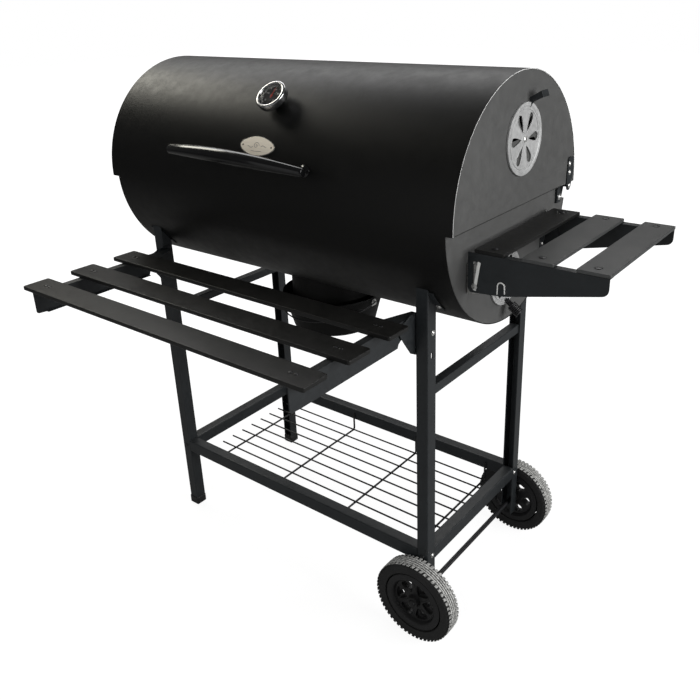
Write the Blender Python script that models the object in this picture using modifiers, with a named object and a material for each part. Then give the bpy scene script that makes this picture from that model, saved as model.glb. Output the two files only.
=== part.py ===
"""Barrel charcoal grill: a split steel drum on a wheeled trolley, with a folding
front shelf, a folding side shelf, a wire bottom shelf and a hanging ash bucket.

Units are metres, +Z up. X runs along the drum, right is +X and the front faces -Y.
Sizes are given about the centre of the trolley on the floor; one root empty moves
the whole grill so that the middle of its footprint sits on the world origin.
"""
import math

import bmesh
import bpy
from mathutils import Vector

# ---------------------------------------------------------------- dimensions
GAP = 0.0003              # clearance between neighbouring pieces

AXIS_Z = 0.8708           # drum axis above the floor
BOWL_R = 0.225            # outer radius of the bowl
WALL = 0.0015             # sheet thickness of the drum
LID_R_IN = 0.2256         # the lid slips over the bowl
LID_R = LID_R_IN + WALL
BOWL_X = (-0.4205, 0.4240)
LID_X = (-0.4360, 0.4395)
END_INSET = 0.0012        # from a shell's edge to the middle of its end sheet
BOWL_RIM_Z = 0.8683
BOWL_REAR_Z = 0.8288      # the rear rim is low, so that the lid can turn past it
REAR_NOTCH_Y = 0.197
LID_RIM_Z = 0.8643
PIVOT_Y, PIVOT_Z = 0.200, 0.8598   # lid hinge
HINGE_PIN_OUT = 0.005     # how far the hinge pins reach past the lid
PIN_R, PIN_HEAD_T = 0.0030, 0.0024

LEG_X, LEG_Y, LEG_T = 0.370, 0.1915, 0.026    # outer faces and width
LEG_MID_X, LEG_MID_Y = LEG_X - LEG_T / 2, LEG_Y - LEG_T / 2
LEG_IN_X, LEG_IN_Y = LEG_X - LEG_T, LEG_Y - LEG_T
LEG_SHEET, LEG_TOP = 0.002, 0.77
FOOT_W, FOOT_H = 0.029, 0.022
WHEEL_LEG_BOTTOM = 0.062
RAIL_TOP, RAIL_H, RAIL_T = 0.193, 0.030, 0.025
BRACE_Z, BRACE_T = 0.546, 0.020
TUBE_WALL = 0.0015

WHEEL_R, WHEEL_W, WHEEL_Y = 0.089, 0.036, 0.2115
AXLE_X, AXLE_R, AXLE_END = 0.357, 0.005, 0.235

GRID_Z, GRID_WIRE, GRID_CROSS_WIRE = 0.138, 0.0022, 0.0026   # wire radii
GRID_CROSS_X = (-0.298, -0.100, 0.100, 0.298)
GRID_FIRST_Y, GRID_PITCH, GRID_COUNT = -0.15615, 0.0347, 10

BUCKET_X = -0.008
BUCKET_R, BUCKET_BOTTOM, BUCKET_TOP = 0.112, 0.536, 0.616
COLLAR_R, COLLAR_BOTTOM, COLLAR_TOP = 0.090, 0.604, 0.690
ASH_HOLE_R = 0.082
BAIL_Z = BUCKET_TOP - 0.008
BAIL_R, BAIL_WIRE, BAIL_TILT = 0.1180, 0.0015, math.radians(15.0)

FRONT_TOP, FRONT_T = 0.707, 0.008
FRONT_LEN, FRONT_W = 0.742, 0.0558
FRONT_FIRST_Y, FRONT_PITCH = -0.5127, 0.104
FRONT_PIVOT_Y, FRONT_PIVOT_Z = -0.222, 0.680
FRONT_WEB_X = 0.3392      # middle of each bracket's web, inside the legs
FRONT_PIN_X = 0.3352      # inner end of each pivot pin
FRONT_ARM_BOTTOM = 0.6530

SIDE_TOP, SIDE_T = 0.827, 0.006
SIDE_Y = (-0.1566, 0.1443)
SIDE_SLATS_X, SIDE_W = (0.4378, 0.5225, 0.6142), 0.0548
SIDE_PIVOT_X, SIDE_PIVOT_Z = 0.4400, 0.7620
SIDE_WEB_T = 0.0015
FLANGE_T = 0.0015         # flanges of both shelves' brackets

VENT_Y, VENT_Z, VENT_R = 0.0, 0.9815, 0.0625            # upper vent
LOW_VENT_Y, LOW_VENT_Z, LOW_VENT_R = -0.020, 0.735, 0.054
VENT_OPEN = math.radians(15)
VENT_PIVOT_R = 0.0036     # hole for the damper's rivet
PETAL_R = 0.0655          # PETAL is drawn for a disc of this radius

HANDLE_ANGLE, HANDLE_HALF = math.radians(16.26), 0.172
HANDLE_R_END, HANDLE_R_MID = 0.0100, 0.0138      # the bar is thickest in the middle
HANDLE_OUT = 0.2815       # from the drum axis to the bar's ends
HANDLE_BOW, HANDLE_RISE = 0.0180, 0.0042         # of the middle, outwards and upwards
HANDLE_SLOPE = 0.024      # the bar drops this much per metre of X
HANDLE_POST_X, HANDLE_POST_R = 0.128, 0.0065
GAUGE_X, GAUGE_ANGLE, GAUGE_R = 0.0112, math.radians(47.1), 0.0310
GAUGE_FACE_R, NEEDLE_OUT = 0.0240, 0.0195
PLATE_X, PLATE_ANGLE = 0.0038, math.radians(24.3)
PLATE_HALF_W, PLATE_HALF_H = 0.0450, 0.0184

GRATE_Z, GRATE_T, GRATE_LIFT_X = 0.8288, 0.008, 0.2
CHARCOAL_Z, CHARCOAL_T = 0.745, 0.006
RACK_Z, RACK_WIRE = 0.9858, 0.0025
LEDGE_T, LEDGE_INSET = 0.0015, 0.0023   # inset of the ledges from the bowl's ends

X_MIN, X_MAX = LID_X[0] - HINGE_PIN_OUT, SIDE_SLATS_X[2] + SIDE_W
Y_MIN, Y_MAX = FRONT_FIRST_Y, AXLE_END

LEFT_RIGHT = (("left", -1), ("right", 1))     # sign of X
FRONT_REAR = (("front", -1), ("rear", 1))     # sign of Y
ORIGIN = (0, 0, 0)
UPRIGHT = (0, 0, 0)
YZ = (math.radians(90), 0, math.radians(90))   # local XY to world YZ, local Z to +X
XZ = (math.radians(90), 0, 0)                  # local XY to world XZ, local Z to -Y
ALONG_X = (0, math.radians(90), 0)             # local Z to +X
ALONG_Y = (math.radians(-90), 0, 0)            # local Z to +Y

# One vent slot, a narrow drop from the vent's centre: (outwards, across)
PETAL = [(0.014, 0.0), (0.027, 0.0052), (0.039, 0.0088), (0.0475, 0.0075),
         (0.0505, 0.0), (0.0475, -0.0075), (0.039, -0.0088), (0.027, -0.0052)]

# ------------------------------------------------------------------- the scene
for old in list(bpy.data.objects):
    bpy.data.objects.remove(old, do_unlink=True)

grill = bpy.data.collections.new("barrel_grill")
cutters = bpy.data.collections.new("cutters")
bpy.context.scene.collection.children.link(grill)
bpy.context.scene.collection.children.link(cutters)


def material(name, color, roughness, metallic=0.0):
    new = bpy.data.materials.new(name)
    new.use_nodes = True
    shader = new.node_tree.nodes["Principled BSDF"]
    shader.inputs["Base Color"].default_value = (*color, 1.0)
    shader.inputs["Roughness"].default_value = roughness
    shader.inputs["Metallic"].default_value = metallic
    return new


DRUM_PAINT = material("drum_paint", color=(0.028, 0.028, 0.027), roughness=0.45)
FRAME_PAINT = material("frame_paint", color=(0.022, 0.024, 0.026), roughness=0.5)
SLAT_PAINT = material("slat_paint", color=(0.03, 0.03, 0.028), roughness=0.42)
WIRE = material("wire", color=(0.03, 0.03, 0.032), roughness=0.4, metallic=0.6)
ZINC = material("zinc", color=(0.6, 0.6, 0.6), roughness=0.3, metallic=1.0)
CHROME = material("chrome", color=(0.75, 0.75, 0.76), roughness=0.12, metallic=1.0)
CAST = material("cast", color=(0.12, 0.12, 0.12), roughness=0.5, metallic=0.5)
CAST_IRON = material("cast_iron", color=(0.03, 0.03, 0.03), roughness=0.7, metallic=0.3)
HANDLE_GLOSS = material("handle_gloss", color=(0.012, 0.012, 0.013), roughness=0.12)
DIAL = material("dial", color=(0.03, 0.03, 0.03), roughness=0.5)
NEEDLE = material("needle", color=(0.75, 0.08, 0.05), roughness=0.4)
GLASS = material("glass", color=(0.8, 0.85, 0.9), roughness=0.05)
NAMEPLATE = material("nameplate", color=(0.75, 0.68, 0.55), roughness=0.4)
PLASTIC = material("plastic", color=(0.02, 0.02, 0.02), roughness=0.6)
RUBBER = material("rubber", color=(0.03, 0.03, 0.03), roughness=0.8)
HUB_PLASTIC = material("hub_plastic", color=(0.02, 0.02, 0.021), roughness=0.5)


# ------------------------------------------------------------- placing objects
def empty(name, at, parent=None):
    """A joint; its place in trolley coordinates is kept in its "at" property."""
    joint = bpy.data.objects.new(name, None)
    joint.empty_display_size = 0.03
    grill.objects.link(joint)
    joint["at"] = tuple(at)
    if parent:
        joint.parent = parent
        joint.location = Vector(at) - Vector(parent["at"])
    return joint


def attach(obj, collection, parent, at, rot):
    """Parent an object to an empty, with its place given in trolley coordinates."""
    collection.objects.link(obj)
    obj.parent = parent
    obj.location = Vector(at) - Vector(parent["at"])
    obj.rotation_euler = rot
    return obj


def place(obj, parent, paint, at=ORIGIN, rot=UPRIGHT):
    """Attach a visible piece."""
    obj.data.materials.append(paint)
    return attach(obj, grill, parent, at, rot)


def tool(obj, parent, at=ORIGIN, rot=UPRIGHT):
    """Attach a hidden helper for a Boolean modifier."""
    obj.hide_render = True
    obj.display_type = "WIRE"
    return attach(obj, cutters, parent, at, rot)


def boolean(obj, other, operation):
    modifier = obj.modifiers.new(operation.title(), "BOOLEAN")
    modifier.operation = operation
    modifier.object = other
    modifier.solver = "EXACT"


def cut(obj, other):
    boolean(obj, other, "DIFFERENCE")


def add(obj, other):
    boolean(obj, other, "UNION")


# ---------------------------------------------------------------- basic solids
def smooth(obj):
    obj.data.shade_smooth()
    obj.data.set_sharp_from_angle(angle=math.radians(35))
    return obj


def from_bmesh(name, bm):
    mesh = bpy.data.meshes.new(name)
    bm.to_mesh(mesh)
    bm.free()
    return bpy.data.objects.new(name, mesh)


def box(name, size, bevel=0.0):
    bm = bmesh.new()
    bmesh.ops.create_cube(bm, size=1.0)
    bmesh.ops.scale(bm, vec=size, verts=bm.verts)
    obj = from_bmesh(name, bm)
    if bevel:
        modifier = obj.modifiers.new("Bevel", "BEVEL")
        modifier.width = bevel
        modifier.segments = 2
        modifier.limit_method = "ANGLE"
    return obj


def cylinder(name, radius, length, sides):
    """A cylinder along local Z, centred on its origin."""
    bm = bmesh.new()
    bmesh.ops.create_cone(bm, cap_ends=True, segments=sides, radius1=radius,
                          radius2=radius, depth=length)
    return smooth(from_bmesh(name, bm))


def as_mesh(name, curve):
    """A curve as a plain mesh object, its loose caps welded."""
    source = bpy.data.objects.new(name, curve)
    bpy.context.scene.collection.objects.link(source)
    bpy.context.view_layer.update()
    graph = bpy.context.evaluated_depsgraph_get()
    mesh = bpy.data.meshes.new_from_object(source.evaluated_get(graph))
    bm = bmesh.new()
    bm.from_mesh(mesh)
    bmesh.ops.remove_doubles(bm, verts=bm.verts, dist=1e-6)
    bm.to_mesh(mesh)
    bm.free()
    bpy.data.objects.remove(source, do_unlink=True)
    mesh.name = name
    return bpy.data.objects.new(name, mesh)


def outline(name, points, thickness, holes=()):
    """A flat plate in local XY with this outline and these holes."""
    curve = bpy.data.curves.new(name, "CURVE")
    curve.dimensions = "2D"
    curve.fill_mode = "BOTH"
    curve.extrude = thickness / 2
    for ring in (points, *holes):
        spline = curve.splines.new("POLY")
        spline.points.add(len(ring) - 1)
        for point, (x, y) in zip(spline.points, ring):
            point.co = (x, y, 0, 1)
        spline.use_cyclic_u = True
    return as_mesh(name, curve)


def rod(name, points, radius, resolution=1, radii=None):
    """A round wire through these points; radii makes its thickness vary."""
    curve = bpy.data.curves.new(name, "CURVE")
    curve.dimensions = "3D"
    curve.bevel_depth = radius
    curve.bevel_resolution = resolution
    curve.use_fill_caps = True
    spline = curve.splines.new("POLY")
    spline.points.add(len(points) - 1)
    for i, xyz in enumerate(points):
        spline.points[i].co = (*xyz, 1)
        if radii:
            spline.points[i].radius = radii[i] / radius
    return as_mesh(name, curve)


def turned(name, profile, steps=32, closed=False):
    """A profile of (radius, height) turned about local Z with a Screw modifier."""
    bm = bmesh.new()
    verts = [bm.verts.new((r, 0, z)) for r, z in profile]
    pairs = list(zip(verts, verts[1:]))
    if closed:
        pairs.append((verts[-1], verts[0]))
    for pair in pairs:
        bm.edges.new(pair)
    obj = from_bmesh(name, bm)
    modifier = obj.modifiers.new("Screw", "SCREW")
    modifier.steps = modifier.render_steps = steps
    modifier.angle = 2 * math.pi
    modifier.use_merge_vertices = True
    modifier.merge_threshold = 1e-5
    modifier.use_smooth_shade = True
    return obj


def joined(name, objects):
    """Several untransformed mesh objects as one; the originals are removed."""
    bm = bmesh.new()
    for obj in objects:
        bm.from_mesh(obj.data)
        bpy.data.objects.remove(obj, do_unlink=True)
    return from_bmesh(name, bm)


def wire_mat(name, long_rods, cross_rods, parent):
    """Two layers of wires that touch, fused into one welded piece."""
    base = place(joined(name, long_rods), parent, WIRE)
    add(base, tool(joined(name + "_tool", cross_rods), parent))


def pin_tool(name, head_radius, x_from, x_to, y, z):
    """A pin along X with a round head at x_to."""
    sign = 1 if x_to > x_from else -1
    length = abs(x_to - x_from)
    neck = length - PIN_HEAD_T
    body = turned(name, [(0, length), (head_radius, length), (head_radius, neck),
                         (PIN_R, neck), (PIN_R, 0), (0, 0)], 16)
    return tool(body, root, (x_from, y, z), (0, sign * math.radians(90), 0))


# ------------------------------------------------------------- outline helpers
def arc(centre_y, centre_z, radius, start, end, steps):
    """Points on a circle; an angle of 0 points down, -90 to the front, 90 to the rear."""
    points = []
    for i in range(steps + 1):
        angle = math.radians(start + (end - start) * i / steps)
        points.append((centre_y + radius * math.sin(angle),
                       centre_z - radius * math.cos(angle)))
    return points


def circle(centre_x, centre_y, radius, sides):
    return [(centre_x + radius * math.cos(2 * math.pi * i / sides),
             centre_y + radius * math.sin(2 * math.pi * i / sides)) for i in range(sides)]


def rotated(points, angle):
    cos, sin = math.cos(angle), math.sin(angle)
    return [(x * cos - y * sin, x * sin + y * cos) for x, y in points]


def vent_slots(centre_x, centre_y, radius, turn=0.0):
    """Six slots around a centre, for a damper of this radius."""
    scale = radius / PETAL_R
    return [[(centre_x + scale * x, centre_y + scale * y)
             for x, y in rotated(PETAL, i * math.pi / 3 - turn)] for i in range(6)]


def down_angle(z, radius):
    """Degrees from straight down at which a circle on the drum axis reaches z."""
    return math.degrees(math.acos((AXIS_Z - z) / radius))


def on_drum(x, angle, radius):
    """A point at this radius from the drum axis, raised by angle from straight ahead."""
    return Vector((x, -radius * math.cos(angle), AXIS_Z + radius * math.sin(angle)))


def facing(angle):
    """The rotation that turns local Z outwards from the drum at this angle."""
    return (math.pi / 2 - angle, 0, 0)


# ---------------------------------------------------------------- joint empties
root = empty("grill_root", (0.0, 0.0, 0.0))
root.location = (-(X_MIN + X_MAX) / 2, -(Y_MIN + Y_MAX) / 2, 0)

lid_axis = empty("lid_axis", (0, PIVOT_Y, PIVOT_Z), root)
vent_axis = empty("upper_vent_axis", (LID_X[1] + 0.0005, VENT_Y, VENT_Z), lid_axis)
low_vent_axis = empty("lower_vent_axis", (BOWL_X[1] + 0.0005, LOW_VENT_Y, LOW_VENT_Z), root)
needle_axis = empty("needle_axis", on_drum(GAUGE_X, GAUGE_ANGLE, LID_R + NEEDLE_OUT), lid_axis)
front_axis = empty("front_shelf_axis", (0, FRONT_PIVOT_Y, FRONT_PIVOT_Z), root)
side_axis = empty("side_shelf_axis", (SIDE_PIVOT_X, 0, SIDE_PIVOT_Z), root)
wheel_axes = {end: empty(end + "_wheel_axis", (AXLE_X, sign * WHEEL_Y, WHEEL_R), root)
              for end, sign in FRONT_REAR}
bucket_slide = empty("bucket_slide", (BUCKET_X, 0, BUCKET_TOP), root)
bail_axis = empty("bail_axis", (BUCKET_X, 0, BAIL_Z), bucket_slide)
grate_lifts = {side: empty("grate_lift_" + side, (sign * GRATE_LIFT_X, 0, GRATE_Z), root)
               for side, sign in LEFT_RIGHT}

# cuts the legs and the ash collar to the underside of the drum
drum_tool = tool(cylinder("drum_cutter", BOWL_R + 0.0004, 1.0, 96), root,
                 (0, 0, AXIS_Z), ALONG_X)


# ------------------------------------------------------------------------ bowl
def bowl_shell():
    """The lower half of the drum, with an ash hole and a grate ledge at front and rear."""
    length, middle = BOWL_X[1] - BOWL_X[0], (BOWL_X[0] + BOWL_X[1]) / 2
    front, rear = -down_angle(BOWL_RIM_Z, BOWL_R), down_angle(BOWL_REAR_Z, BOWL_R)
    section = (arc(0, 0, BOWL_R, front, rear, 46)
               + arc(0, 0, BOWL_R - WALL, rear, front, 46))
    bowl = place(smooth(outline("bowl_shell", section, length)), root, DRUM_PAINT,
                 (middle, 0, AXIS_Z), YZ)
    cut(bowl, tool(cylinder("ash_hole_cutter", ASH_HOLE_R, 0.06, 32), root,
                   (BUCKET_X, 0, AXIS_Z - BOWL_R + 0.01)))

    ledge_z = GRATE_Z - GRATE_T / 2 - 0.0012
    low, high = ledge_z - LEDGE_T / 2, ledge_z + LEDGE_T / 2
    # (y, z); the rear ledge carries an upright strip
    front_ledge = [(-0.2192, low), (-0.1900, low), (-0.1900, high), (-0.2192, high)]
    rear_ledge = [(0.1900, low), (0.2192, low), (0.2192, high), (0.2020, high),
                  (0.2020, 0.8618), (0.2005, 0.8618), (0.2005, high), (0.1900, high)]
    for end, shape in (("front", front_ledge), ("rear", rear_ledge)):
        ledge = outline("ledge_tool_" + end, shape, length - 2 * LEDGE_INSET)
        add(bowl, tool(ledge, root, (middle, 0, 0), YZ))


def bowl_ends():
    """Flat end sheets; the right one has the lower vent."""
    radius = BOWL_R - WALL - GAP
    disc = arc(0, 0, radius, -down_angle(BOWL_RIM_Z, radius),
               down_angle(BOWL_REAR_Z, radius), 40)
    disc += [(REAR_NOTCH_Y, BOWL_REAR_Z - AXIS_Z), (REAR_NOTCH_Y, BOWL_RIM_Z - AXIS_Z)]
    vent_z = LOW_VENT_Z - AXIS_Z
    vent = vent_slots(LOW_VENT_Y, vent_z, LOW_VENT_R)
    vent.append(circle(LOW_VENT_Y, vent_z, VENT_PIVOT_R, 10))
    for (side, sign), edge_x in zip(LEFT_RIGHT, BOWL_X):
        holes = vent if side == "right" else ()
        place(outline("bowl_end_" + side, disc, WALL, holes), root, DRUM_PAINT,
              (edge_x - sign * END_INSET, 0, AXIS_Z), YZ)


def bowl_hinges():
    """Brackets on the bowl's ends, each with the pin that the lid turns on."""
    shape = ([(0.179, 0.8268), (0.1955, 0.8268)]
             + arc(PIVOT_Y, PIVOT_Z, 0.008, 40, 210, 10) + [(0.179, 0.8538)])
    for (side, sign), bowl_x, lid_x in zip(LEFT_RIGHT, BOWL_X, LID_X):
        x = bowl_x + sign * 0.0023
        bracket = place(outline("bowl_hinge_" + side, shape, 0.0044), root, FRAME_PAINT,
                        (x, 0, 0), YZ)
        add(bracket, pin_tool("hinge_pin_tool_" + side, 0.0052, x,
                              lid_x + sign * HINGE_PIN_OUT, PIVOT_Y, PIVOT_Z))


# ------------------------------------------------------------------------- lid
def lid_shell():
    """The upper half of the drum."""
    length, middle = LID_X[1] - LID_X[0], (LID_X[0] + LID_X[1]) / 2
    rim = down_angle(LID_RIM_Z, LID_R)
    section = (arc(0, 0, LID_R, rim, 360 - rim, 52)
               + arc(0, 0, LID_R_IN, 360 - rim, rim, 52))
    return place(smooth(outline("lid_shell", section, length)), lid_axis, DRUM_PAINT,
                 (middle, 0, AXIS_Z), YZ)


def lid_ends():
    """Flat end sheets; the right one has the upper vent, partly open."""
    radius = LID_R_IN - GAP
    rim = down_angle(LID_RIM_Z, radius)
    disc = arc(0, 0, radius, rim, 360 - rim, 44)
    vent_z = VENT_Z - AXIS_Z
    vent = vent_slots(VENT_Y, vent_z, VENT_R, VENT_OPEN)
    vent.append(circle(VENT_Y, vent_z, VENT_PIVOT_R, 10))
    for (side, sign), edge_x in zip(LEFT_RIGHT, LID_X):
        holes = vent if side == "right" else ()
        place(outline("lid_end_" + side, disc, WALL, holes), lid_axis, DRUM_PAINT,
              (edge_x - sign * END_INSET, 0, AXIS_Z), YZ)


def lid_hinges():
    """Hinge leaves outside the lid's ends, with a hole for the bowl's pins."""
    shape = ([(0.1930, 0.9138), (0.1910, 0.8878)]
             + arc(PIVOT_Y, PIVOT_Z, 0.0090, -75, 75, 10)
             + [(0.2165, 0.8818), (0.2150, 0.9118), (0.2120, 0.9153), (0.1960, 0.9168)])
    hole = circle(PIVOT_Y, PIVOT_Z, PIN_R + 0.0004, 16)
    for (side, sign), edge_x in zip(LEFT_RIGHT, LID_X):
        place(outline("lid_hinge_" + side, shape, 0.0016, (hole,)), lid_axis, FRAME_PAINT,
              (edge_x + sign * 0.0012, 0, 0), YZ)


def bow(x):
    """1 in the middle of the handle, 0 at its ends."""
    return 1 - (x / HANDLE_HALF) ** 2


def bar_point(x):
    point = on_drum(x, HANDLE_ANGLE, HANDLE_OUT + HANDLE_BOW * bow(x))
    point.z += HANDLE_RISE * bow(x) - HANDLE_SLOPE * x
    return point


def bar_radius(x):
    return HANDLE_R_END + (HANDLE_R_MID - HANDLE_R_END) * bow(x)


def lid_handle():
    """A bar on two posts, bowed outwards and slightly upwards."""
    stations = [-HANDLE_HALF + 2 * HANDLE_HALF * i / 16 for i in range(17)]
    bar = rod("lid_handle", [bar_point(x) for x in stations], HANDLE_R_MID, 2,
              [bar_radius(x) for x in stations])
    place(smooth(bar), lid_axis, HANDLE_GLOSS)
    for side, sign in LEFT_RIGHT:
        x = sign * HANDLE_POST_X
        point = bar_point(x)
        rise = point.z - AXIS_Z
        lean = math.atan2(rise, -point.y)
        low = LID_R + GAP
        high = math.hypot(point.y, rise) - bar_radius(x) - 0.0017
        place(cylinder("handle_post_" + side, HANDLE_POST_R, high - low, 16), lid_axis,
              HANDLE_GLOSS, on_drum(x, lean, (low + high) / 2), facing(lean))


def thermometer(lid):
    """A round gauge on the lid's front, its probe passing through the sheet."""
    turn = facing(GAUGE_ANGLE)
    foot = on_drum(GAUGE_X, GAUGE_ANGLE, LID_R)
    # (radius, height above the lid), from the recessed face to the tip of the probe
    profile = [(0, 0.0170), (0.0245, 0.0170), (0.0245, 0.0235), (0.0258, 0.0250),
               (0.0290, 0.0250), (GAUGE_R, 0.0230), (GAUGE_R, 0.0125), (0.0285, 0.0095),
               (0.0120, 0.0085), (0.0110, 0.0005), (0.0035, 0.0005), (0.0035, -0.0500),
               (0, -0.0520)]
    place(turned("thermometer_body", profile, 24), lid_axis, CHROME, foot, turn)
    cut(lid, tool(cylinder("probe_cutter", 0.0042, 0.03, 16), lid_axis, foot, turn))
    # name, thickness, height above the lid, material
    for name, thickness, height, paint in (("dial", 0.0008, 0.0179, DIAL),
                                           ("glass", 0.0009, 0.0218, GLASS)):
        place(cylinder("thermometer_" + name, GAUGE_FACE_R, thickness, 28), lid_axis, paint,
              on_drum(GAUGE_X, GAUGE_ANGLE, LID_R + height), turn)
    pointer = [(-0.0011, -0.004), (0.0011, -0.004), (0.0009, 0.012), (0, 0.018),
               (-0.0009, 0.012)]
    place(outline("thermometer_needle", pointer, 0.0006), needle_axis, NEEDLE,
          on_drum(GAUGE_X, GAUGE_ANGLE, LID_R + NEEDLE_OUT), turn)


def nameplate():
    """A blank plate on the lid's front, an oval with narrowed ends."""
    oval = []
    for i in range(24):
        angle = 2 * math.pi * i / 24
        narrowing = 1 - 0.18 * math.cos(angle) ** 2
        oval.append((PLATE_HALF_W * math.cos(angle),
                     PLATE_HALF_H * math.sin(angle) * narrowing))
    place(outline("nameplate", oval, 0.0011), lid_axis, NAMEPLATE,
          on_drum(PLATE_X, PLATE_ANGLE, LID_R + 0.0009), facing(PLATE_ANGLE))


# ---------------------------------------------------------------------- dampers
def damper(name, parent, at, radius):
    """A round damper with a raised rim, six slots and a rivet, facing +X."""
    slots = vent_slots(0, 0, radius)
    disc = place(outline(name, circle(0, 0, radius, 32), 0.0018, slots), parent, CAST, at, YZ)
    rim = [(radius - 0.0006, 0.0024), (radius - 0.0006, 0.0002), (radius - 0.007, 0.0002),
           (radius - 0.007, 0.0014), (radius - 0.002, 0.0024)]
    add(disc, tool(turned(name + "_rim_tool", rim, 32, True), parent, at, ALONG_X))
    rivet = [(0, 0.0040), (0.0045, 0.0032), (0.0055, 0.0), (0.0031, 0.0),
             (0.0031, -0.0024), (0, -0.0024)]
    add(disc, tool(turned(name + "_rivet_tool", rivet, 12), parent, at, ALONG_X))
    return disc


def upper_damper():
    """Its tab stands square to the disc, rises outwards, then turns rearwards."""
    disc = damper("upper_damper", vent_axis, (LID_X[1] + 0.001, VENT_Y, VENT_Z), VENT_R)
    tab_y, tab_t, end_len = 0.0160, 0.0018, 0.0240
    # (x, z)
    web = [(0.4398, 1.0330), (0.4425, 1.0330), (0.4463, 1.0418), (0.4648, 1.0512),
           (0.4607, 1.0620), (0.4419, 1.0513), (0.4398, 1.0513)]
    end = [(0.4648, 1.0512), (0.4607, 1.0620), (0.4592, 1.0612), (0.4633, 1.0504)]
    add(disc, tool(outline("damper_web_tool", web, tab_t), vent_axis, (0, tab_y, 0), XZ))
    add(disc, tool(outline("damper_end_tool", end, end_len), vent_axis,
                   (0, tab_y + (end_len - tab_t) / 2, 0), XZ))


def lower_damper():
    """Its grip is a wire coil around a stub that points outwards and down."""
    disc = damper("lower_damper", low_vent_axis,
                  (BOWL_X[1] + 0.0011, LOW_VENT_Y, LOW_VENT_Z), LOW_VENT_R)
    direction = Vector((0.80, 0.0, -0.60))
    turn = (0, math.pi / 2 + math.asin(0.60), 0)      # local Z along the direction
    start = Vector((0.4285, LOW_VENT_Y + 0.004, LOW_VENT_Z - 0.0475))
    add(disc, tool(cylinder("spring_core_tool", 0.0050, 0.036, 12), low_vent_axis,
                   start + direction * 0.0165, turn))
    coil_r, coil_pitch, coil_turns, turn_steps = 0.0084, 0.0034, 6, 8
    coil = []
    for i in range(coil_turns * turn_steps + 1):
        angle = 2 * math.pi * i / turn_steps
        coil.append((coil_r * math.cos(angle), coil_r * math.sin(angle),
                     coil_pitch * i / turn_steps))
    place(rod("damper_spring_grip", coil, 0.0014), low_vent_axis, WIRE,
          start + direction * 0.0125, turn)


# --------------------------------------------------------------------- trolley
def leg_section():
    """A square U section, open towards +Y."""
    out, inn = LEG_T / 2, LEG_T / 2 - LEG_SHEET
    return [(-out, -out), (out, -out), (out, out), (inn, out), (inn, -inn),
            (-inn, -inn), (-inn, out), (-out, out)]


def leg(name, sign_x, sign_y):
    """A leg with a saddle tab that follows the drum."""
    bottom = FOOT_H + GAP if sign_x < 0 else WHEEL_LEG_BOTTOM
    post = place(outline("leg_" + name, leg_section(), LEG_TOP - bottom), root, FRAME_PAINT,
                 (sign_x * LEG_MID_X, sign_y * LEG_MID_Y, (LEG_TOP + bottom) / 2),
                 (0, 0, math.pi if sign_y > 0 else 0))
    outer, inner = (math.degrees(math.asin(y / BOWL_R)) for y in (0.188, 0.150))
    strip = (arc(0, 0, BOWL_R + 0.0006, outer, inner, 5)
             + arc(0, 0, BOWL_R + 0.0028, inner, outer, 5))
    tab = outline("saddle_tool_" + name, [(y * sign_y, z) for y, z in strip], 0.036)
    add(post, tool(tab, root, (sign_x * (LEG_X - 0.008), 0, AXIS_Z), YZ))
    cut(post, drum_tool)
    return post


def legs():
    """The left legs stand on feet; the right ones take the axle and have a slot."""
    for end, sign_y in FRONT_REAR:
        left_name, right_name = end + "_left", end + "_right"
        leg(left_name, -1, sign_y)
        place(box("foot_" + end, (FOOT_W, FOOT_W, FOOT_H), 0.003), root, PLASTIC,
              (-LEG_MID_X, sign_y * LEG_MID_Y, FOOT_H / 2))

        post = leg(right_name, 1, sign_y)
        cut(post, tool(cylinder("axle_hole_tool_" + right_name, AXLE_R + 0.0004, 0.01, 20),
                       root, (AXLE_X, sign_y * (LEG_Y - LEG_SHEET / 2), WHEEL_R), ALONG_Y))
        cut(post, tool(box("leg_slot_tool_" + right_name, (0.01, 0.0045, 0.012)), root,
                       (LEG_X - LEG_SHEET / 2, sign_y * 0.1785, 0.6225)))


def tube(name, width, height, length, at, rot):
    """A rectangular tube along local Z."""
    rings = []
    for half_w, half_h in ((width / 2, height / 2),
                           (width / 2 - TUBE_WALL, height / 2 - TUBE_WALL)):
        rings.append([(-half_w, -half_h), (half_w, -half_h), (half_w, half_h),
                      (-half_w, half_h)])
    place(outline(name, rings[0], length, rings[1:]), root, FRAME_PAINT, at, rot)


def rails_and_braces():
    """A ring of rails above the bottom shelf, and a higher brace at each side."""
    rail_z = RAIL_TOP - RAIL_H / 2
    length_x, length_y = 2 * (LEG_IN_X - GAP), 2 * (LEG_IN_Y - GAP)
    for end, sign in FRONT_REAR:
        tube("rail_" + end, RAIL_T, RAIL_H, length_x,
             (0, sign * (LEG_Y - RAIL_T / 2), rail_z), YZ)
    for side, sign in LEFT_RIGHT:
        tube("rail_" + side, RAIL_T, RAIL_H, length_y,
             (sign * (LEG_X - RAIL_T / 2), 0, rail_z), XZ)
        tube("brace_" + side, BRACE_T, BRACE_T, length_y, (sign * LEG_MID_X, 0, BRACE_Z), XZ)


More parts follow.
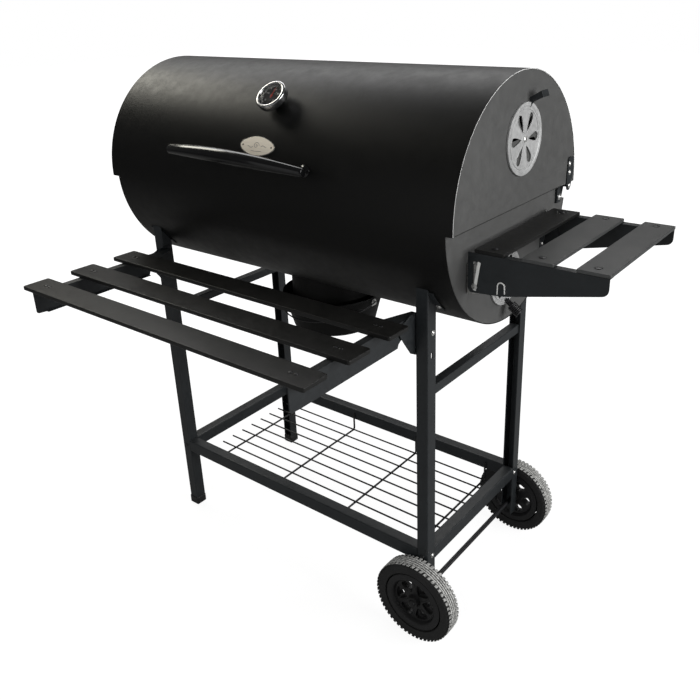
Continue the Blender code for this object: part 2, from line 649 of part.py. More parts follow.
def bottom_shelf():
    """A wire grid; its cross wires rise against the rails' inner faces at both ends."""
    end_x = LEG_IN_X - 0.0015
    end_y = LEG_Y - RAIL_T - GRID_CROSS_WIRE - GAP
    high, low = RAIL_TOP - 0.012, GRID_Z - GRID_WIRE - 0.0012
    longs = []
    for i in range(GRID_COUNT):
        y = GRID_FIRST_Y + i * GRID_PITCH
        longs.append(rod("long", [(-end_x, y, GRID_Z), (end_x, y, GRID_Z)], GRID_WIRE))
    crosses = [rod("cross", [(x, -end_y, high), (x, -end_y, low + 0.007),
                             (x, 0.005 - end_y, low), (x, end_y - 0.005, low),
                             (x, end_y, low + 0.007), (x, end_y, high)], GRID_CROSS_WIRE)
               for x in GRID_CROSS_X]
    wire_mat("bottom_shelf", longs, crosses, root)


# --------------------------------------------------------------- axle and wheels
def axle():
    head_r, neck = 0.0075, AXLE_END - 0.004
    profile = [(0, AXLE_END), (head_r, AXLE_END), (head_r, neck), (AXLE_R, neck),
               (AXLE_R, -neck), (head_r, -neck), (head_r, -AXLE_END), (0, -AXLE_END)]
    place(turned("axle", profile, 20), root, ZINC, (AXLE_X, 0, WHEEL_R), ALONG_Y)


HALF_W = WHEEL_W / 2
# (radius, height along the axle) from the outer side to the middle of the tread
TYRE_OUTER = [(0.0665, HALF_W), (0.0800, HALF_W), (0.0858, HALF_W - 0.0035),
              (0.0870, 0.0085), (0.0855, 0.0075), (WHEEL_R, 0.0062), (WHEEL_R, 0.0015),
              (0.0872, 0.0)]
TYRE = (TYRE_OUTER + [(r, -z) for r, z in reversed(TYRE_OUTER[:-1])] + [(0.0642, 0.0)])
# (radius, height along the axle) out along the outer face, back along the inner one
HUB = [(0.0064, HALF_W), (0.0150, HALF_W), (0.0160, HALF_W - 0.003), (0.0160, 0.0085),
       (0.0440, 0.0060), (0.0480, HALF_W - 0.004), (0.0520, HALF_W - 0.001),
       (0.0635, HALF_W - 0.002), (0.0635, 0.0004),
       (0.0635, -0.0004), (0.0635, -HALF_W + 0.002), (0.0520, -HALF_W + 0.001),
       (0.0480, -HALF_W + 0.005), (0.0440, -0.0090), (0.0160, -0.0100),
       (0.0150, -HALF_W), (0.0064, -HALF_W)]
# one of the hub's six windows: (outwards, across)
HUB_WINDOW = [(0.0205, 0.0), (0.0250, 0.0066), (0.0320, 0.0118), (0.0395, 0.0130),
              (0.0425, 0.0075), (0.0428, -0.0025), (0.0385, -0.0085), (0.0280, -0.0068)]


def wheels():
    for end, sign in FRONT_REAR:
        parent = wheel_axes[end]
        turn = (-sign * math.radians(90), 0, 0)     # local Z points away from the trolley
        at = (AXLE_X, sign * WHEEL_Y, WHEEL_R)
        place(turned("tyre_" + end, TYRE, 32, True), parent, RUBBER, at, turn)
        hub = place(turned("hub_" + end, HUB, 28, True), parent, HUB_PLASTIC, at, turn)
        windows = [outline("window", rotated(HUB_WINDOW, 2 * math.pi * i / 6), 0.06)
                   for i in range(6)]
        cut(hub, tool(joined("hub_window_tool_" + end, windows), parent, at, turn))


# -------------------------------------------------------------------- ash bucket
def ash_collar():
    """A ring under the ash hole, trimmed to the drum."""
    inner_r = COLLAR_R - 0.0015
    profile = [(COLLAR_R, COLLAR_TOP), (COLLAR_R, COLLAR_BOTTOM),
               (inner_r, COLLAR_BOTTOM), (inner_r, COLLAR_TOP)]
    collar = place(turned("ash_collar", profile, 32, True), root, DRUM_PAINT,
                   (BUCKET_X, 0, 0))
    cut(collar, drum_tool)


def ash_bucket():
    """A tapered bucket with a lug at its left and right for the bail."""
    # (radius, z), down the axis side of the sheet first, then back along the outside
    profile = [
        (0, BUCKET_BOTTOM + 0.0015), (0.0870, BUCKET_BOTTOM + 0.0015),
        (0.0895, BUCKET_BOTTOM + 0.004), (BUCKET_R - 0.0022, BUCKET_TOP - 0.003),
        (BUCKET_R - 0.0022, BUCKET_TOP), (BUCKET_R + 0.0006, BUCKET_TOP),
        (BUCKET_R + 0.0006, BUCKET_TOP - 0.003), (BUCKET_R - 0.0008, BUCKET_TOP - 0.004),
        (0.0912, BUCKET_BOTTOM + 0.003), (0.0880, BUCKET_BOTTOM), (0, BUCKET_BOTTOM)]
    bucket = place(turned("ash_bucket", profile), bucket_slide, DRUM_PAINT, (BUCKET_X, 0, 0))
    lug_r, lug_in, lug_out = 0.0028, 0.1085, 0.1160
    lug_profile = [(0, lug_out), (lug_r, lug_out), (lug_r, lug_in), (0, lug_in)]
    for number, sign in ((0, -1), (2, 1)):
        lug = turned(f"bucket_lug_tool_{number}", lug_profile, 10)
        add(bucket, tool(lug, bucket_slide, (BUCKET_X, 0, BAIL_Z),
                         (0, sign * math.radians(90), 0)))


def bucket_bail():
    """A half ring of wire, hanging forwards and tilted down."""
    points = []
    for i in range(21):
        angle = math.pi * i / 20
        reach = BAIL_R * math.sin(angle)
        points.append((BUCKET_X - BAIL_R * math.cos(angle), -reach * math.cos(BAIL_TILT),
                       BAIL_Z - reach * math.sin(BAIL_TILT)))
    place(rod("bucket_bail", points, BAIL_WIRE), bail_axis, WIRE)


# ------------------------------------------------------------------------ grates
def slotted(name, x_range, half_y, columns, rows, bar, thickness):
    """A grate cast in one piece: a flat frame with rows of slots through it."""
    x0, x1 = x_range
    edge = [(x0, -half_y), (x1, -half_y), (x1, half_y), (x0, half_y)]
    pitch_x, pitch_y = (x1 - x0 - bar) / columns, (2 * half_y - bar) / rows
    holes = []
    for i in range(columns):
        for j in range(rows):
            left, front = x0 + bar + i * pitch_x, -half_y + bar + j * pitch_y
            right, rear = left + pitch_x - bar, front + pitch_y - bar
            holes.append([(left, front), (right, front), (right, rear), (left, rear)])
    return outline(name, edge, thickness, holes)


def grates():
    """A charcoal grate, and two cooking grates side by side above it."""
    charcoal = slotted("charcoal_grate", (-0.345, 0.345), 0.180, columns=3, rows=12,
                       bar=0.012, thickness=CHARCOAL_T)
    place(charcoal, root, CAST_IRON, (0, 0, CHARCOAL_Z))
    for side, sign in LEFT_RIGHT:
        lift_x = sign * GRATE_LIFT_X
        x_range = sorted((sign * 0.003 - lift_x, sign * 0.400 - lift_x))
        grate = slotted("cooking_grate_" + side, x_range, 0.197, columns=16, rows=2,
                        bar=0.0085, thickness=GRATE_T)
        place(grate, grate_lifts[side], CAST_IRON, (lift_x, 0, GRATE_Z))


def warming_rack():
    """A wire rack inside the lid that turns with it."""
    left, right = LID_X[0] + 0.0024, LID_X[1] - 0.0024
    cross_z = RACK_Z - 0.0035
    longs = [rod("long", [(left, y, RACK_Z), (right, y, RACK_Z)], RACK_WIRE)
             for y in (0.018, 0.046, 0.074, 0.102, 0.130)]
    crosses = [rod("cross", [(x, 0.010, cross_z), (x, 0.138, cross_z)], RACK_WIRE)
               for x in (-0.30, 0.0, 0.30)]
    wire_mat("warming_rack", longs, crosses, lid_axis)


# ------------------------------------------------------------------ front shelf
def front_slats():
    for i, name in enumerate(("outer", "middle", "inner")):
        y = FRONT_FIRST_Y + i * FRONT_PITCH + FRONT_W / 2
        place(box("front_slat_" + name, (FRONT_LEN, FRONT_W, FRONT_T), 0.0015), front_axis,
              SLAT_PAINT, (0, y, FRONT_TOP - FRONT_T / 2))


def front_brackets():
    """Folding arms under the slats, each with a top flange and a bottom lip."""
    under = FRONT_TOP - FRONT_T - GAP
    # (y, z)
    arm = [(-0.5110, under), (-0.5110, 0.6575), (-0.5080, 0.6545),
           (-0.4900, FRONT_ARM_BOTTOM), (-0.2400, FRONT_ARM_BOTTOM), (-0.2370, 0.6600)]
    arm += arc(FRONT_PIVOT_Y, FRONT_PIVOT_Z, 0.0165, -25, 150, 9)
    arm += [(-0.1900, 0.6890), (-0.1800, 0.6920), (-0.1800, under)]
    hole = circle(FRONT_PIVOT_Y, FRONT_PIVOT_Z, PIN_R + 0.0005, 14)
    # (distance inwards from the web, y)
    flange_plan = [(0, -0.5105), (0.0150, -0.5105), (0.0150, -0.2900), (0.0350, -0.2560),
                   (0.0350, -0.2420), (0.0120, -0.1785), (0, -0.1785)]
    for side, sign in LEFT_RIGHT:
        bracket = place(outline("front_bracket_" + side, arm, 0.0018, (hole,)), front_axis,
                        FRAME_PAINT, (sign * FRONT_WEB_X, 0, 0), YZ)
        plan = [(sign * (FRONT_WEB_X - inset), y) for inset, y in flange_plan]
        add(bracket, tool(outline("front_flange_tool_" + side, plan, FLANGE_T), front_axis,
                          (0, 0, under - FLANGE_T / 2)))
        add(bracket, tool(box("front_lip_tool_" + side, (0.0080, 0.2490, FLANGE_T)),
                          front_axis, (sign * (FRONT_WEB_X - 0.0035), -0.3665,
                                       FRONT_ARM_BOTTOM + FLANGE_T / 2)))


def front_hinges():
    """Plates on the inner faces of the front legs, each with a pivot pin."""
    # (y, z)
    plate = [(-0.1690, 0.7030), (-0.2050, 0.7030)]
    plate += arc(FRONT_PIVOT_Y, FRONT_PIVOT_Z, 0.0155, -160, -40, 8)
    plate += [(-0.2240, 0.6560), (-0.2160, 0.6450), (-0.2050, 0.6300), (-0.1900, 0.6220),
              (-0.1690, 0.6200)]
    for side, sign in LEFT_RIGHT:
        x = sign * (LEG_IN_X - 0.0015)
        hinge = place(outline("front_shelf_hinge_" + side, plate, 0.0022), root,
                      FRAME_PAINT, (x, 0, 0), YZ)
        add(hinge, pin_tool("front_pin_tool_" + side, 0.0055, x, sign * FRONT_PIN_X,
                            FRONT_PIVOT_Y, FRONT_PIVOT_Z))


# ------------------------------------------------------------------- side shelf
def side_slats():
    length, middle = SIDE_Y[1] - SIDE_Y[0], (SIDE_Y[0] + SIDE_Y[1]) / 2
    for x, name in zip(SIDE_SLATS_X, ("inner", "middle", "outer")):
        place(box("side_slat_" + name, (SIDE_W, length, SIDE_T), 0.0012), side_axis,
              SLAT_PAINT, (x + SIDE_W / 2, middle, SIDE_TOP - SIDE_T / 2))


def side_bracket(end, sign, y):
    """A tapering web with an upright slot for its pin and a flange under the slats."""
    under = SIDE_TOP - SIDE_T - GAP
    slot_left, slot_right = SIDE_PIVOT_X - 0.0036, SIDE_PIVOT_X + 0.0036
    # (x, z)
    web = [(0.4262, under), (0.4262, 0.7590), (0.4272, 0.7545), (0.4300, 0.7515),
           (0.4340, 0.7500), (0.4900, 0.7540), (0.6520, 0.7900), (0.6610, 0.7945),
           (0.6660, 0.8020), (0.6675, 0.8100), (0.6675, under)]
    slot = [(slot_left, 0.7580), (slot_right, 0.7580), (slot_right, 0.8040),
            (SIDE_PIVOT_X, 0.8065), (slot_left, 0.8040)]
    bracket = place(outline("side_bracket_" + end, web, SIDE_WEB_T, (slot,)), side_axis,
                    FRAME_PAINT, (0, y, 0), XZ)
    flange = box("side_flange_tool_" + end, (0.2315, 0.0150, FLANGE_T))
    add(bracket, tool(flange, side_axis, (0.5517, y - sign * 0.0070, under - FLANGE_T / 2)))


def side_hinge(end, sign, y):
    """An ear inside the bracket, with a pad against the bowl's end and a pin."""
    ear_y = y - sign * 0.0022
    # (x, z)
    ear = [(0.4241, 0.7450), (0.4480, 0.7500), (0.4520, 0.7560), (0.4520, 0.7900),
           (0.4440, 0.8000), (0.4241, 0.8000)]
    hinge = place(outline("side_shelf_hinge_" + end, ear, 0.0018), root, ZINC,
                  (0, ear_y, 0), XZ)
    add(hinge, tool(box("side_pad_tool_" + end, (0.0015, 0.0200, 0.0540)), root,
                    (0.42485, y - sign * 0.0120, 0.7725)))
    pin = [(0, 0.0052), (0.0055, 0.0052), (0.0055, 0.0033), (0.0029, 0.0033),
           (0.0029, 0.0), (0, 0.0)]
    add(hinge, tool(turned("side_pin_tool_" + end, pin, 14), root,
                    (SIDE_PIVOT_X, ear_y, SIDE_PIVOT_Z), (-sign * math.pi / 2, 0, 0)))


# ----------------------------------------------------------------------- build
bowl_shell()
bowl_ends()
bowl_hinges()
thermometer(lid_shell())
lid_ends()
lid_hinges()
lid_handle()
nameplate()
upper_damper()
lower_damper()
legs()
rails_and_braces()
bottom_shelf()
axle()
wheels()
ash_collar()
ash_bucket()
bucket_bail()
grates()
warming_rack()
front_slats()
front_brackets()
front_hinges()
side_slats()
for (end_name, end_sign), edge_y in zip(FRONT_REAR, SIDE_Y):
    web_y = edge_y - end_sign * 0.0010
    side_bracket(end_name, end_sign, web_y)
    side_hinge(end_name, end_sign, web_y)
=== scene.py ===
"""A barrel-shaped charcoal grill on a four-legged trolley, in metres with Z up.

The drum lies along X. The lid handle and the front shelf face -Y and the lid hinges are at +Y.
The side shelf, the dampers and the two wheels are at +X; the two plain feet are at -X.
Pieces are laid out about the trolley's centre, and put() shifts them to the CAD's place.
"""

import math
import random

import bmesh
import bpy
from mathutils import Euler, Matrix, Vector


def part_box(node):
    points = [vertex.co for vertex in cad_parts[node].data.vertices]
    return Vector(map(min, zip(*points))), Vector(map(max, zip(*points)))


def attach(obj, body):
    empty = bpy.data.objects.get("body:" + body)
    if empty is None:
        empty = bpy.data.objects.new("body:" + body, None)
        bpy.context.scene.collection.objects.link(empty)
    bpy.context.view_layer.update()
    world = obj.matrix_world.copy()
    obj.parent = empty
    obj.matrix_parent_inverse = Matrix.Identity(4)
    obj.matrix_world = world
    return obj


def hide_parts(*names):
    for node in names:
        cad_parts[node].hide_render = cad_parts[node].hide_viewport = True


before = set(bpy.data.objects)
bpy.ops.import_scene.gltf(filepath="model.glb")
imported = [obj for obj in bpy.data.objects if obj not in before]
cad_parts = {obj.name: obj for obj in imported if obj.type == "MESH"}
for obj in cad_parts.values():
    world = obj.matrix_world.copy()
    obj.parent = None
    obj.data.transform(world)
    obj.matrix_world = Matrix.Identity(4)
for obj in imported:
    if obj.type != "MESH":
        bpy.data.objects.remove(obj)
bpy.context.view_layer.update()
random.seed(7)

# ------------------------------------------------------------------ sizes
front_rail, rear_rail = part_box("rail_front"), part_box("rail_rear")
OFFSET = Vector(((front_rail[0].x + front_rail[1].x) / 2,
                 (front_rail[0].y + rear_rail[1].y) / 2, 0.0))

# drum: its axis is at Y = 0; the X pairs are the left and right ends
AXIS_Z = 0.8708
R_BOWL, WALL = 0.225, 0.0015
R_LID_IN = 0.2256
R_LID = R_LID_IN + WALL
BOWL_X, LID_X = (-0.4205, 0.4240), (-0.4360, 0.4395)
BOWL_RIM_Z, BOWL_REAR_Z, LID_RIM_Z = 0.8683, 0.8288, 0.8643
PIVOT_Y, PIVOT_Z = 0.200, 0.8598
# dampers: (Y, Z, radius); the petal slots are drawn for a disc of PETAL_R
UPPER_VENT = (0.0, 0.9815, 0.0625)
LOWER_VENT = (-0.020, 0.735, 0.054)
PETAL_R = 0.0655
# trolley: LEG_X and LEG_Y are its outer faces
LEG_X, LEG_Y, LEG_T = 0.370, 0.1915, 0.026
RAIL_TOP, RAIL_H, RAIL_T = 0.193, 0.030, 0.025
WHEEL_R, WHEEL_Y, AXLE_X = 0.089, 0.2115, 0.357
BUCKET_X, BUCKET_TOP, BUCKET_BASE = -0.008, 0.616, 0.536
# shelves
FRONT_TOP, FRONT_T, FRONT_LEN, FRONT_W = 0.707, 0.008, 0.742, 0.0558
FRONT_FIRST_Y, FRONT_PITCH = -0.5127, 0.104
SIDE_TOP, SIDE_T, SIDE_Y = 0.827, 0.006, (-0.1566, 0.1443)
SIDE_SLATS_X, SIDE_W = (0.4378, 0.5225, 0.6142), 0.0548

# rotations that stand a flat outline in a plane, or lay a turned piece along an axis
YZ = (math.radians(90), 0, math.radians(90))
XZ = (math.radians(90), 0, 0)
ALONG_X = (0, math.radians(90), 0)
ALONG_Y = (math.radians(-90), 0, 0)
LEFT_RIGHT = (("left", -1), ("right", 1))
RIGHT_LEFT = LEFT_RIGHT[::-1]
FRONT_REAR = (("front", -1), ("rear", 1))
SCENE = bpy.context.scene.collection


# ------------------------------------------------------------------ shader nodes
def fill(tree, made, inputs):
    """Link each input that is given a socket and set each that is given a value."""
    for key, value in inputs.items():
        if isinstance(value, bpy.types.NodeSocket):
            tree.links.new(value, made.inputs[key])
        else:
            made.inputs[key].default_value = value


def node(tree, kind, inputs=None, **settings):
    made = tree.nodes.new("ShaderNode" + kind)
    for key, value in settings.items():
        setattr(made, key, value)
    fill(tree, made, inputs or {})
    return made


def object_coords(tree):
    return node(tree, "TexCoord").outputs["Object"]


def noise(tree, inputs):
    return node(tree, "TexNoise", inputs).outputs["Fac"]


def map_range(tree, value, source=(0.0, 1.0), target=(0.0, 1.0), **settings):
    return node(tree, "MapRange", {"Value": value, "From Min": source[0], "From Max": source[1],
                                   "To Min": target[0], "To Max": target[1]},
                **settings).outputs[0]


def multiply(tree, first, second):
    return node(tree, "Math", {0: first, 1: second}, operation="MULTIPLY").outputs[0]


def mix_color(tree, amount, first, second):
    inputs = {0: amount, 6: first, 7: second}
    return node(tree, "Mix", inputs, data_type="RGBA").outputs[2]


def vector_length(tree, vector):
    return node(tree, "VectorMath", {0: vector}, operation="LENGTH").outputs["Value"]


def new_material(name):
    made = bpy.data.materials.new(name)
    made.use_nodes = True
    return made, made.node_tree, made.node_tree.nodes["Principled BSDF"]


# ------------------------------------------------------------------ materials
DUST_COLOR = (0.16, 0.155, 0.145)


def surface(name, color, rough, metallic=0.0, drift=0.18, blotch=9.0, grain=900.0, bump=0.25,
            depth=0.00012, rough_drift=0.08, dust=0.0, coat=0.0, specular=0.5, stretch=None):
    """A painted or moulded surface: colour and gloss drift, fine grain and some dust.

    blotch and grain are noise scales; drift is the relative change of colour; stretch scales
    the blotches along each axis; dust lies on faces that look up.
    """
    made, tree, shader = new_material(name)
    coords = pattern = object_coords(tree)
    if stretch:
        pattern = node(tree, "Mapping", {"Vector": coords, "Scale": stretch}).outputs["Vector"]
    blotches = noise(tree, {"Vector": pattern, "Scale": blotch, "Detail": 5.0, "Roughness": 0.6})
    mottle = noise(tree, {"Vector": pattern, "Scale": blotch * 9, "Detail": 4.0,
                          "Roughness": 0.65})
    # the mean of both noises, with its contrast raised
    mean = node(tree, "Math", {0: mottle, 1: 0.5}, operation="MULTIPLY_ADD")
    fill(tree, mean, {2: multiply(tree, blotches, 0.5)})
    spread = map_range(tree, mean.outputs[0], (0.35, 0.65))
    darkest = [max(0.0, c * (1 - drift)) for c in color] + [1]
    lightest = [min(1.0, c * (1 + drift)) for c in color] + [1]
    base = mix_color(tree, spread, darkest, lightest)
    roughness = map_range(tree, mottle, (0.3, 0.7),
                          (max(0.02, rough - rough_drift), min(1.0, rough + rough_drift)))
    if dust:
        normal = node(tree, "NewGeometry").outputs["Normal"]
        upward = node(tree, "SeparateXYZ", {0: normal}).outputs["Z"]
        cover = map_range(tree, upward, (0.45, 1.0), (0.0, dust))
        base = mix_color(tree, multiply(tree, cover, spread), base, (*DUST_COLOR, 1))
    fine = noise(tree, {"Vector": coords, "Scale": grain, "Detail": 3.0})
    relief = node(tree, "Bump", {"Strength": bump, "Distance": depth, "Height": fine})
    fill(tree, shader, {
        "Base Color": base, "Roughness": roughness, "Normal": relief.outputs["Normal"],
        "Metallic": metallic, "Specular IOR Level": specular,
        "Coat Weight": coat, "Coat Roughness": 0.06})
    return made


DRUM = surface("drum_paint_look", (0.0030, 0.0030, 0.0028), rough=0.45, drift=0.16, blotch=5,
               grain=700, bump=0.30, rough_drift=0.05, specular=0.43)
# painted light: the ends get a lighter grey copy of the drum's near-black paint, standing in for
# the light from the right that falls on them
END_LIT = surface("drum_end_lit_look", (0.0760, 0.0765, 0.0750), rough=0.50, drift=0.12, blotch=6,
              grain=700, bump=0.30, rough_drift=0.06)
FRAME = surface("frame_paint_look", (0.0155, 0.0180, 0.0198), rough=0.42, drift=0.22, blotch=14,
                grain=1100, bump=0.35, rough_drift=0.09, dust=0.10)
SLAT = surface("slat_paint_look", (0.0095, 0.0095, 0.0092), rough=0.36, drift=0.14, blotch=11,
               grain=800, bump=0.20, rough_drift=0.05, dust=0.07, specular=0.34)
# painted light: the middle and outer side slats get a lighter grey copy of the slat paint,
# standing in for the light that falls on them; the inner slat keeps the darker slat paint
LIT_SIDE_SLAT = surface("side_slat_lit_look", (0.058, 0.060, 0.060), rough=0.38, drift=0.16, blotch=11,
                    grain=800, bump=0.20, rough_drift=0.05, dust=0.24)
GLOSS = surface("gloss_black_look", (0.0050, 0.0050, 0.0054), rough=0.17, drift=0.1, grain=300,
                bump=0.03, rough_drift=0.03, coat=0.25)
WIRE = surface("wire_look", (0.0110, 0.0110, 0.0120), rough=0.36, drift=0.3, blotch=30,
               grain=1200, bump=0.2, rough_drift=0.1)
CAST = surface("cast_iron_look", (0.022, 0.021, 0.020), rough=0.62, metallic=0.25, drift=0.3,
               blotch=20, grain=500, bump=0.8, depth=0.0004, rough_drift=0.12)
DAMPER = surface("damper_look", (0.420, 0.422, 0.420), rough=0.46, metallic=0.15, drift=0.22,
                 blotch=22, grain=650, bump=0.7, depth=0.0003, rough_drift=0.1)
ZINC = surface("zinc_look", (0.72, 0.72, 0.70), rough=0.30, metallic=0.9, drift=0.06, blotch=25,
               grain=1200, bump=0.08, rough_drift=0.06)
LIGHT_ZINC = surface("light_zinc_look", (0.80, 0.80, 0.78), rough=0.35, metallic=0.2,
                     drift=0.08, blotch=25, grain=1200, bump=0.08, rough_drift=0.06)
PLASTIC = surface("moulded_plastic_look", (0.0110, 0.0110, 0.0115), rough=0.42, drift=0.15,
                  blotch=25, bump=0.35, dust=0.06)
CHROME = surface("chrome_look", (0.78, 0.78, 0.79), rough=0.22, metallic=1.0, drift=0.04,
                 blotch=40, grain=1500, bump=0.05, rough_drift=0.05)
DIAL = surface("dial_look", (0.045, 0.045, 0.045), rough=0.55, drift=0.1, blotch=40, grain=1500,
               bump=0.1)
MARK = surface("dial_mark_look", (0.75, 0.75, 0.72), rough=0.5, drift=0.05, blotch=40)
NEEDLE = surface("needle_look", (0.65, 0.05, 0.03), rough=0.4, drift=0.05, blotch=40)
CREAM = surface("nameplate_look", (0.93, 0.84, 0.70), rough=0.34, drift=0.10, blotch=40,
                grain=1800, bump=0.3, stretch=(1, 8, 1))
SILVER = surface("nameplate_rim_look", (0.80, 0.77, 0.70), rough=0.25, metallic=0.9, drift=0.05,
                 blotch=40)
BROWN = surface("ornament_look", (0.050, 0.032, 0.022), rough=0.5, drift=0.2, blotch=60)
PAIL = surface("pail_look", (0.0030, 0.0030, 0.0028), rough=0.5, drift=0.2, blotch=12,
               grain=600, bump=0.3, specular=0.22)
INSIDE = surface("drum_inside_look", (0.020, 0.020, 0.019), rough=0.60, drift=0.3, blotch=12,
                 grain=500, bump=0.5, rough_drift=0.1)


def glass_look():
    """Clear glass with faint smears."""
    made, tree, shader = new_material("gauge_glass_look")
    smears = noise(tree, {"Scale": 60.0, "Detail": 3.0})
    fill(tree, shader, {"Base Color": (1, 1, 1, 1), "Transmission Weight": 1.0, "IOR": 1.45,
                        "Roughness": map_range(tree, smears, target=(0.0, 0.06))})
    return made


def rubber_look():
    """Black rubber that is pale on the outermost tread: partly wear, partly a painted highlight
    of the light on the tread.
    """
    made = surface("tyre_look", (0.016, 0.016, 0.016), rough=0.68, drift=0.25, blotch=30,
                   grain=700, bump=0.5, depth=0.0003, rough_drift=0.12)
    tree = made.node_tree
    shader = tree.nodes["Principled BSDF"]
    black = shader.inputs["Base Color"].links[0].from_socket
    coords = object_coords(tree)
    # the distance from the wheel's axis: the outermost rubber is paled, partly as wear and
    # partly as a painted highlight
    flat = node(tree, "VectorMath", {0: coords, 1: (1, 1, 0)}, operation="MULTIPLY")
    wear_and_highlight = map_range(tree, vector_length(tree, flat.outputs[0]), (0.0868, 0.0886))
    specks = noise(tree, {"Vector": coords, "Scale": 260.0, "Detail": 4.0})
    patchy = map_range(tree, specks, (0.38, 0.62), (0.40, 1.0))
    worn_and_lit = mix_color(tree, multiply(tree, wear_and_highlight, patchy), black, (0.60, 0.60, 0.58, 1))
    fill(tree, shader, {"Base Color": worn_and_lit})
    return made


GLASS = glass_look()
RUBBER = rubber_look()


# ------------------------------------------------------------------ mesh tools
def as_mesh(obj, weld=1e-6):
    """The object with its modifiers applied, as a plain mesh object in the same place."""
    if not obj.users_collection:
        SCENE.objects.link(obj)
    bpy.context.view_layer.update()
    graph = bpy.context.evaluated_depsgraph_get()
    mesh = bpy.data.meshes.new_from_object(obj.evaluated_get(graph))
    if weld:
        bm = bmesh.new()
        bm.from_mesh(mesh)
        bmesh.ops.remove_doubles(bm, verts=bm.verts, dist=weld)
        bm.to_mesh(mesh)
        bm.free()
    name, matrix = obj.name, obj.matrix_world.copy()
    bpy.data.objects.remove(obj, do_unlink=True)
    mesh.name = name
    new = bpy.data.objects.new(name, mesh)
    new.matrix_world = matrix
    return new


def from_bmesh(name, bm):
    mesh = bpy.data.meshes.new(name)
    bm.to_mesh(mesh)
    bm.free()
    return bpy.data.objects.new(name, mesh)


def moved(obj, at=(0, 0, 0), rot=(0, 0, 0)):
    obj.matrix_world = Matrix.Translation(Vector(at)) @ Euler(rot).to_matrix().to_4x4()
    return obj


def bevelled(obj, width, segments=2, angle=35):
    bevel = obj.modifiers.new("Bevel", "BEVEL")
    bevel.width, bevel.segments, bevel.limit_method = width, segments, "ANGLE"
    bevel.angle_limit = math.radians(angle)
    bevel.use_clamp_overlap = True
    return as_mesh(obj)


def box(name, size, bevel, segments=3):
    bm = bmesh.new()
    bmesh.ops.create_cube(bm, size=1.0)
    bmesh.ops.scale(bm, vec=size, verts=bm.verts)
    return bevelled(from_bmesh(name, bm), bevel, segments, 30)


def outline(name, points, thickness, holes=(), bevel=0.0, segments=2, angle=40):
    """A plate in local XY with this outline and these holes."""
    curve = bpy.data.curves.new(name, "CURVE")
    curve.dimensions = "2D"
    curve.fill_mode = "BOTH"
    curve.extrude = thickness / 2
    for ring in (points, *holes):
        spline = curve.splines.new("POLY")
        spline.points.add(len(ring) - 1)
        for point, (x, y) in zip(spline.points, ring):
            point.co = (x, y, 0, 1)
        spline.use_cyclic_u = True
    obj = as_mesh(bpy.data.objects.new(name, curve))
    if not bevel:
        return obj
    bm = bmesh.new()
    bm.from_mesh(obj.data)
    bmesh.ops.dissolve_limit(bm, angle_limit=math.radians(0.5), verts=bm.verts, edges=bm.edges)
    bm.to_mesh(obj.data)
    bm.free()
    return bevelled(obj, bevel, segments, angle)


def plate_x(name, points, thickness, x, z=0.0, **options):
    """A plate square to X, its outline given as (Y, Z above z)."""
    return moved(outline(name, points, thickness, **options), (x, 0, z), YZ)


def plate_y(name, points, thickness, y, **options):
    """A plate square to Y, its outline given as (X, Z)."""
    return moved(outline(name, points, thickness, **options), (0, y, 0), XZ)


def turned(name, profile, steps=96, closed=False):
    """A profile of (radius, height) turned about local Z."""
    bm = bmesh.new()
    rings = []
    for r, z in profile:
        if r < 1e-7:
            rings.append([bm.verts.new((0, 0, z))])
        else:
            rings.append([bm.verts.new((r * math.cos(2 * math.pi * i / steps),
                                        r * math.sin(2 * math.pi * i / steps), z))
                          for i in range(steps)])
    pairs = list(zip(rings, rings[1:]))
    if closed:
        pairs.append((rings[-1], rings[0]))
    for a, b in pairs:
        for i in range(steps):
            j = (i + 1) % steps
            corners = (a[i % len(a)], b[i % len(b)], b[j % len(b)], a[j % len(a)])
            bm.faces.new(tuple(dict.fromkeys(corners)))     # a triangle beside the axis
    bmesh.ops.recalc_face_normals(bm, faces=bm.faces)
    return from_bmesh(name, bm)


def cylinder(radius, half_length, steps):
    return turned("cylinder", [(0, half_length), (radius, half_length),
                               (radius, -half_length), (0, -half_length)], steps)


def rod(name, points, radius, resolution=4, cyclic=False):
    curve = bpy.data.curves.new(name, "CURVE")
    curve.dimensions = "3D"
    curve.bevel_depth = radius
    curve.bevel_resolution = resolution
    curve.use_fill_caps = not cyclic
    spline = curve.splines.new("POLY")
    spline.points.add(len(points) - 1)
    for point, place in zip(spline.points, points):
        point.co = (*place, 1)
    spline.use_cyclic_u = cyclic
    return as_mesh(bpy.data.objects.new(name, curve))


def joined(name, objects):
    bm = bmesh.new()
    for obj in objects:
        part = obj.data.copy()
        part.transform(obj.matrix_world)
        bm.from_mesh(part)
        bpy.data.meshes.remove(part)
        bpy.data.objects.remove(obj, do_unlink=True)
    return from_bmesh(name, bm)


def cut(obj, tool):
    """Take the tool's shape out of the object; the tool is removed."""
    for part in (obj, tool):
        if not part.users_collection:
            SCENE.objects.link(part)
    boolean = obj.modifiers.new("Boolean", "BOOLEAN")
    boolean.operation, boolean.object, boolean.solver = "DIFFERENCE", tool, "EXACT"
    out = as_mesh(obj)
    bpy.data.objects.remove(tool, do_unlink=True)
    return out


def put(obj, body, look, replaces=(), angle=38, weighted=True):
    """Finish a piece: shade it, give its material and hand it to its body."""
    if not obj.users_collection:
        SCENE.objects.link(obj)
    obj.matrix_world = Matrix.Translation(OFFSET) @ obj.matrix_world
    obj.data.materials.clear()
    obj.data.materials.append(look)
    obj.data.shade_smooth()
    obj.data.set_sharp_from_angle(angle=math.radians(angle))
    if weighted:
        obj.modifiers.new("Weighted", "WEIGHTED_NORMAL").keep_sharp = True
    if replaces:
        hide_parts(*replaces)
    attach(obj, body)
    return obj


def screw_head(name, radius, height):
    """A domed head whose underside is at local Z = 0."""
    steps = 8
    dome = [(radius * math.sin(math.pi / 2 * i / steps),
             height * 0.25 + height * 0.75 * math.cos(math.pi / 2 * i / steps))
            for i in range(1, steps + 1)]
    return turned(name, [(0, height)] + dome + [(radius, 0), (0, 0)], 28)


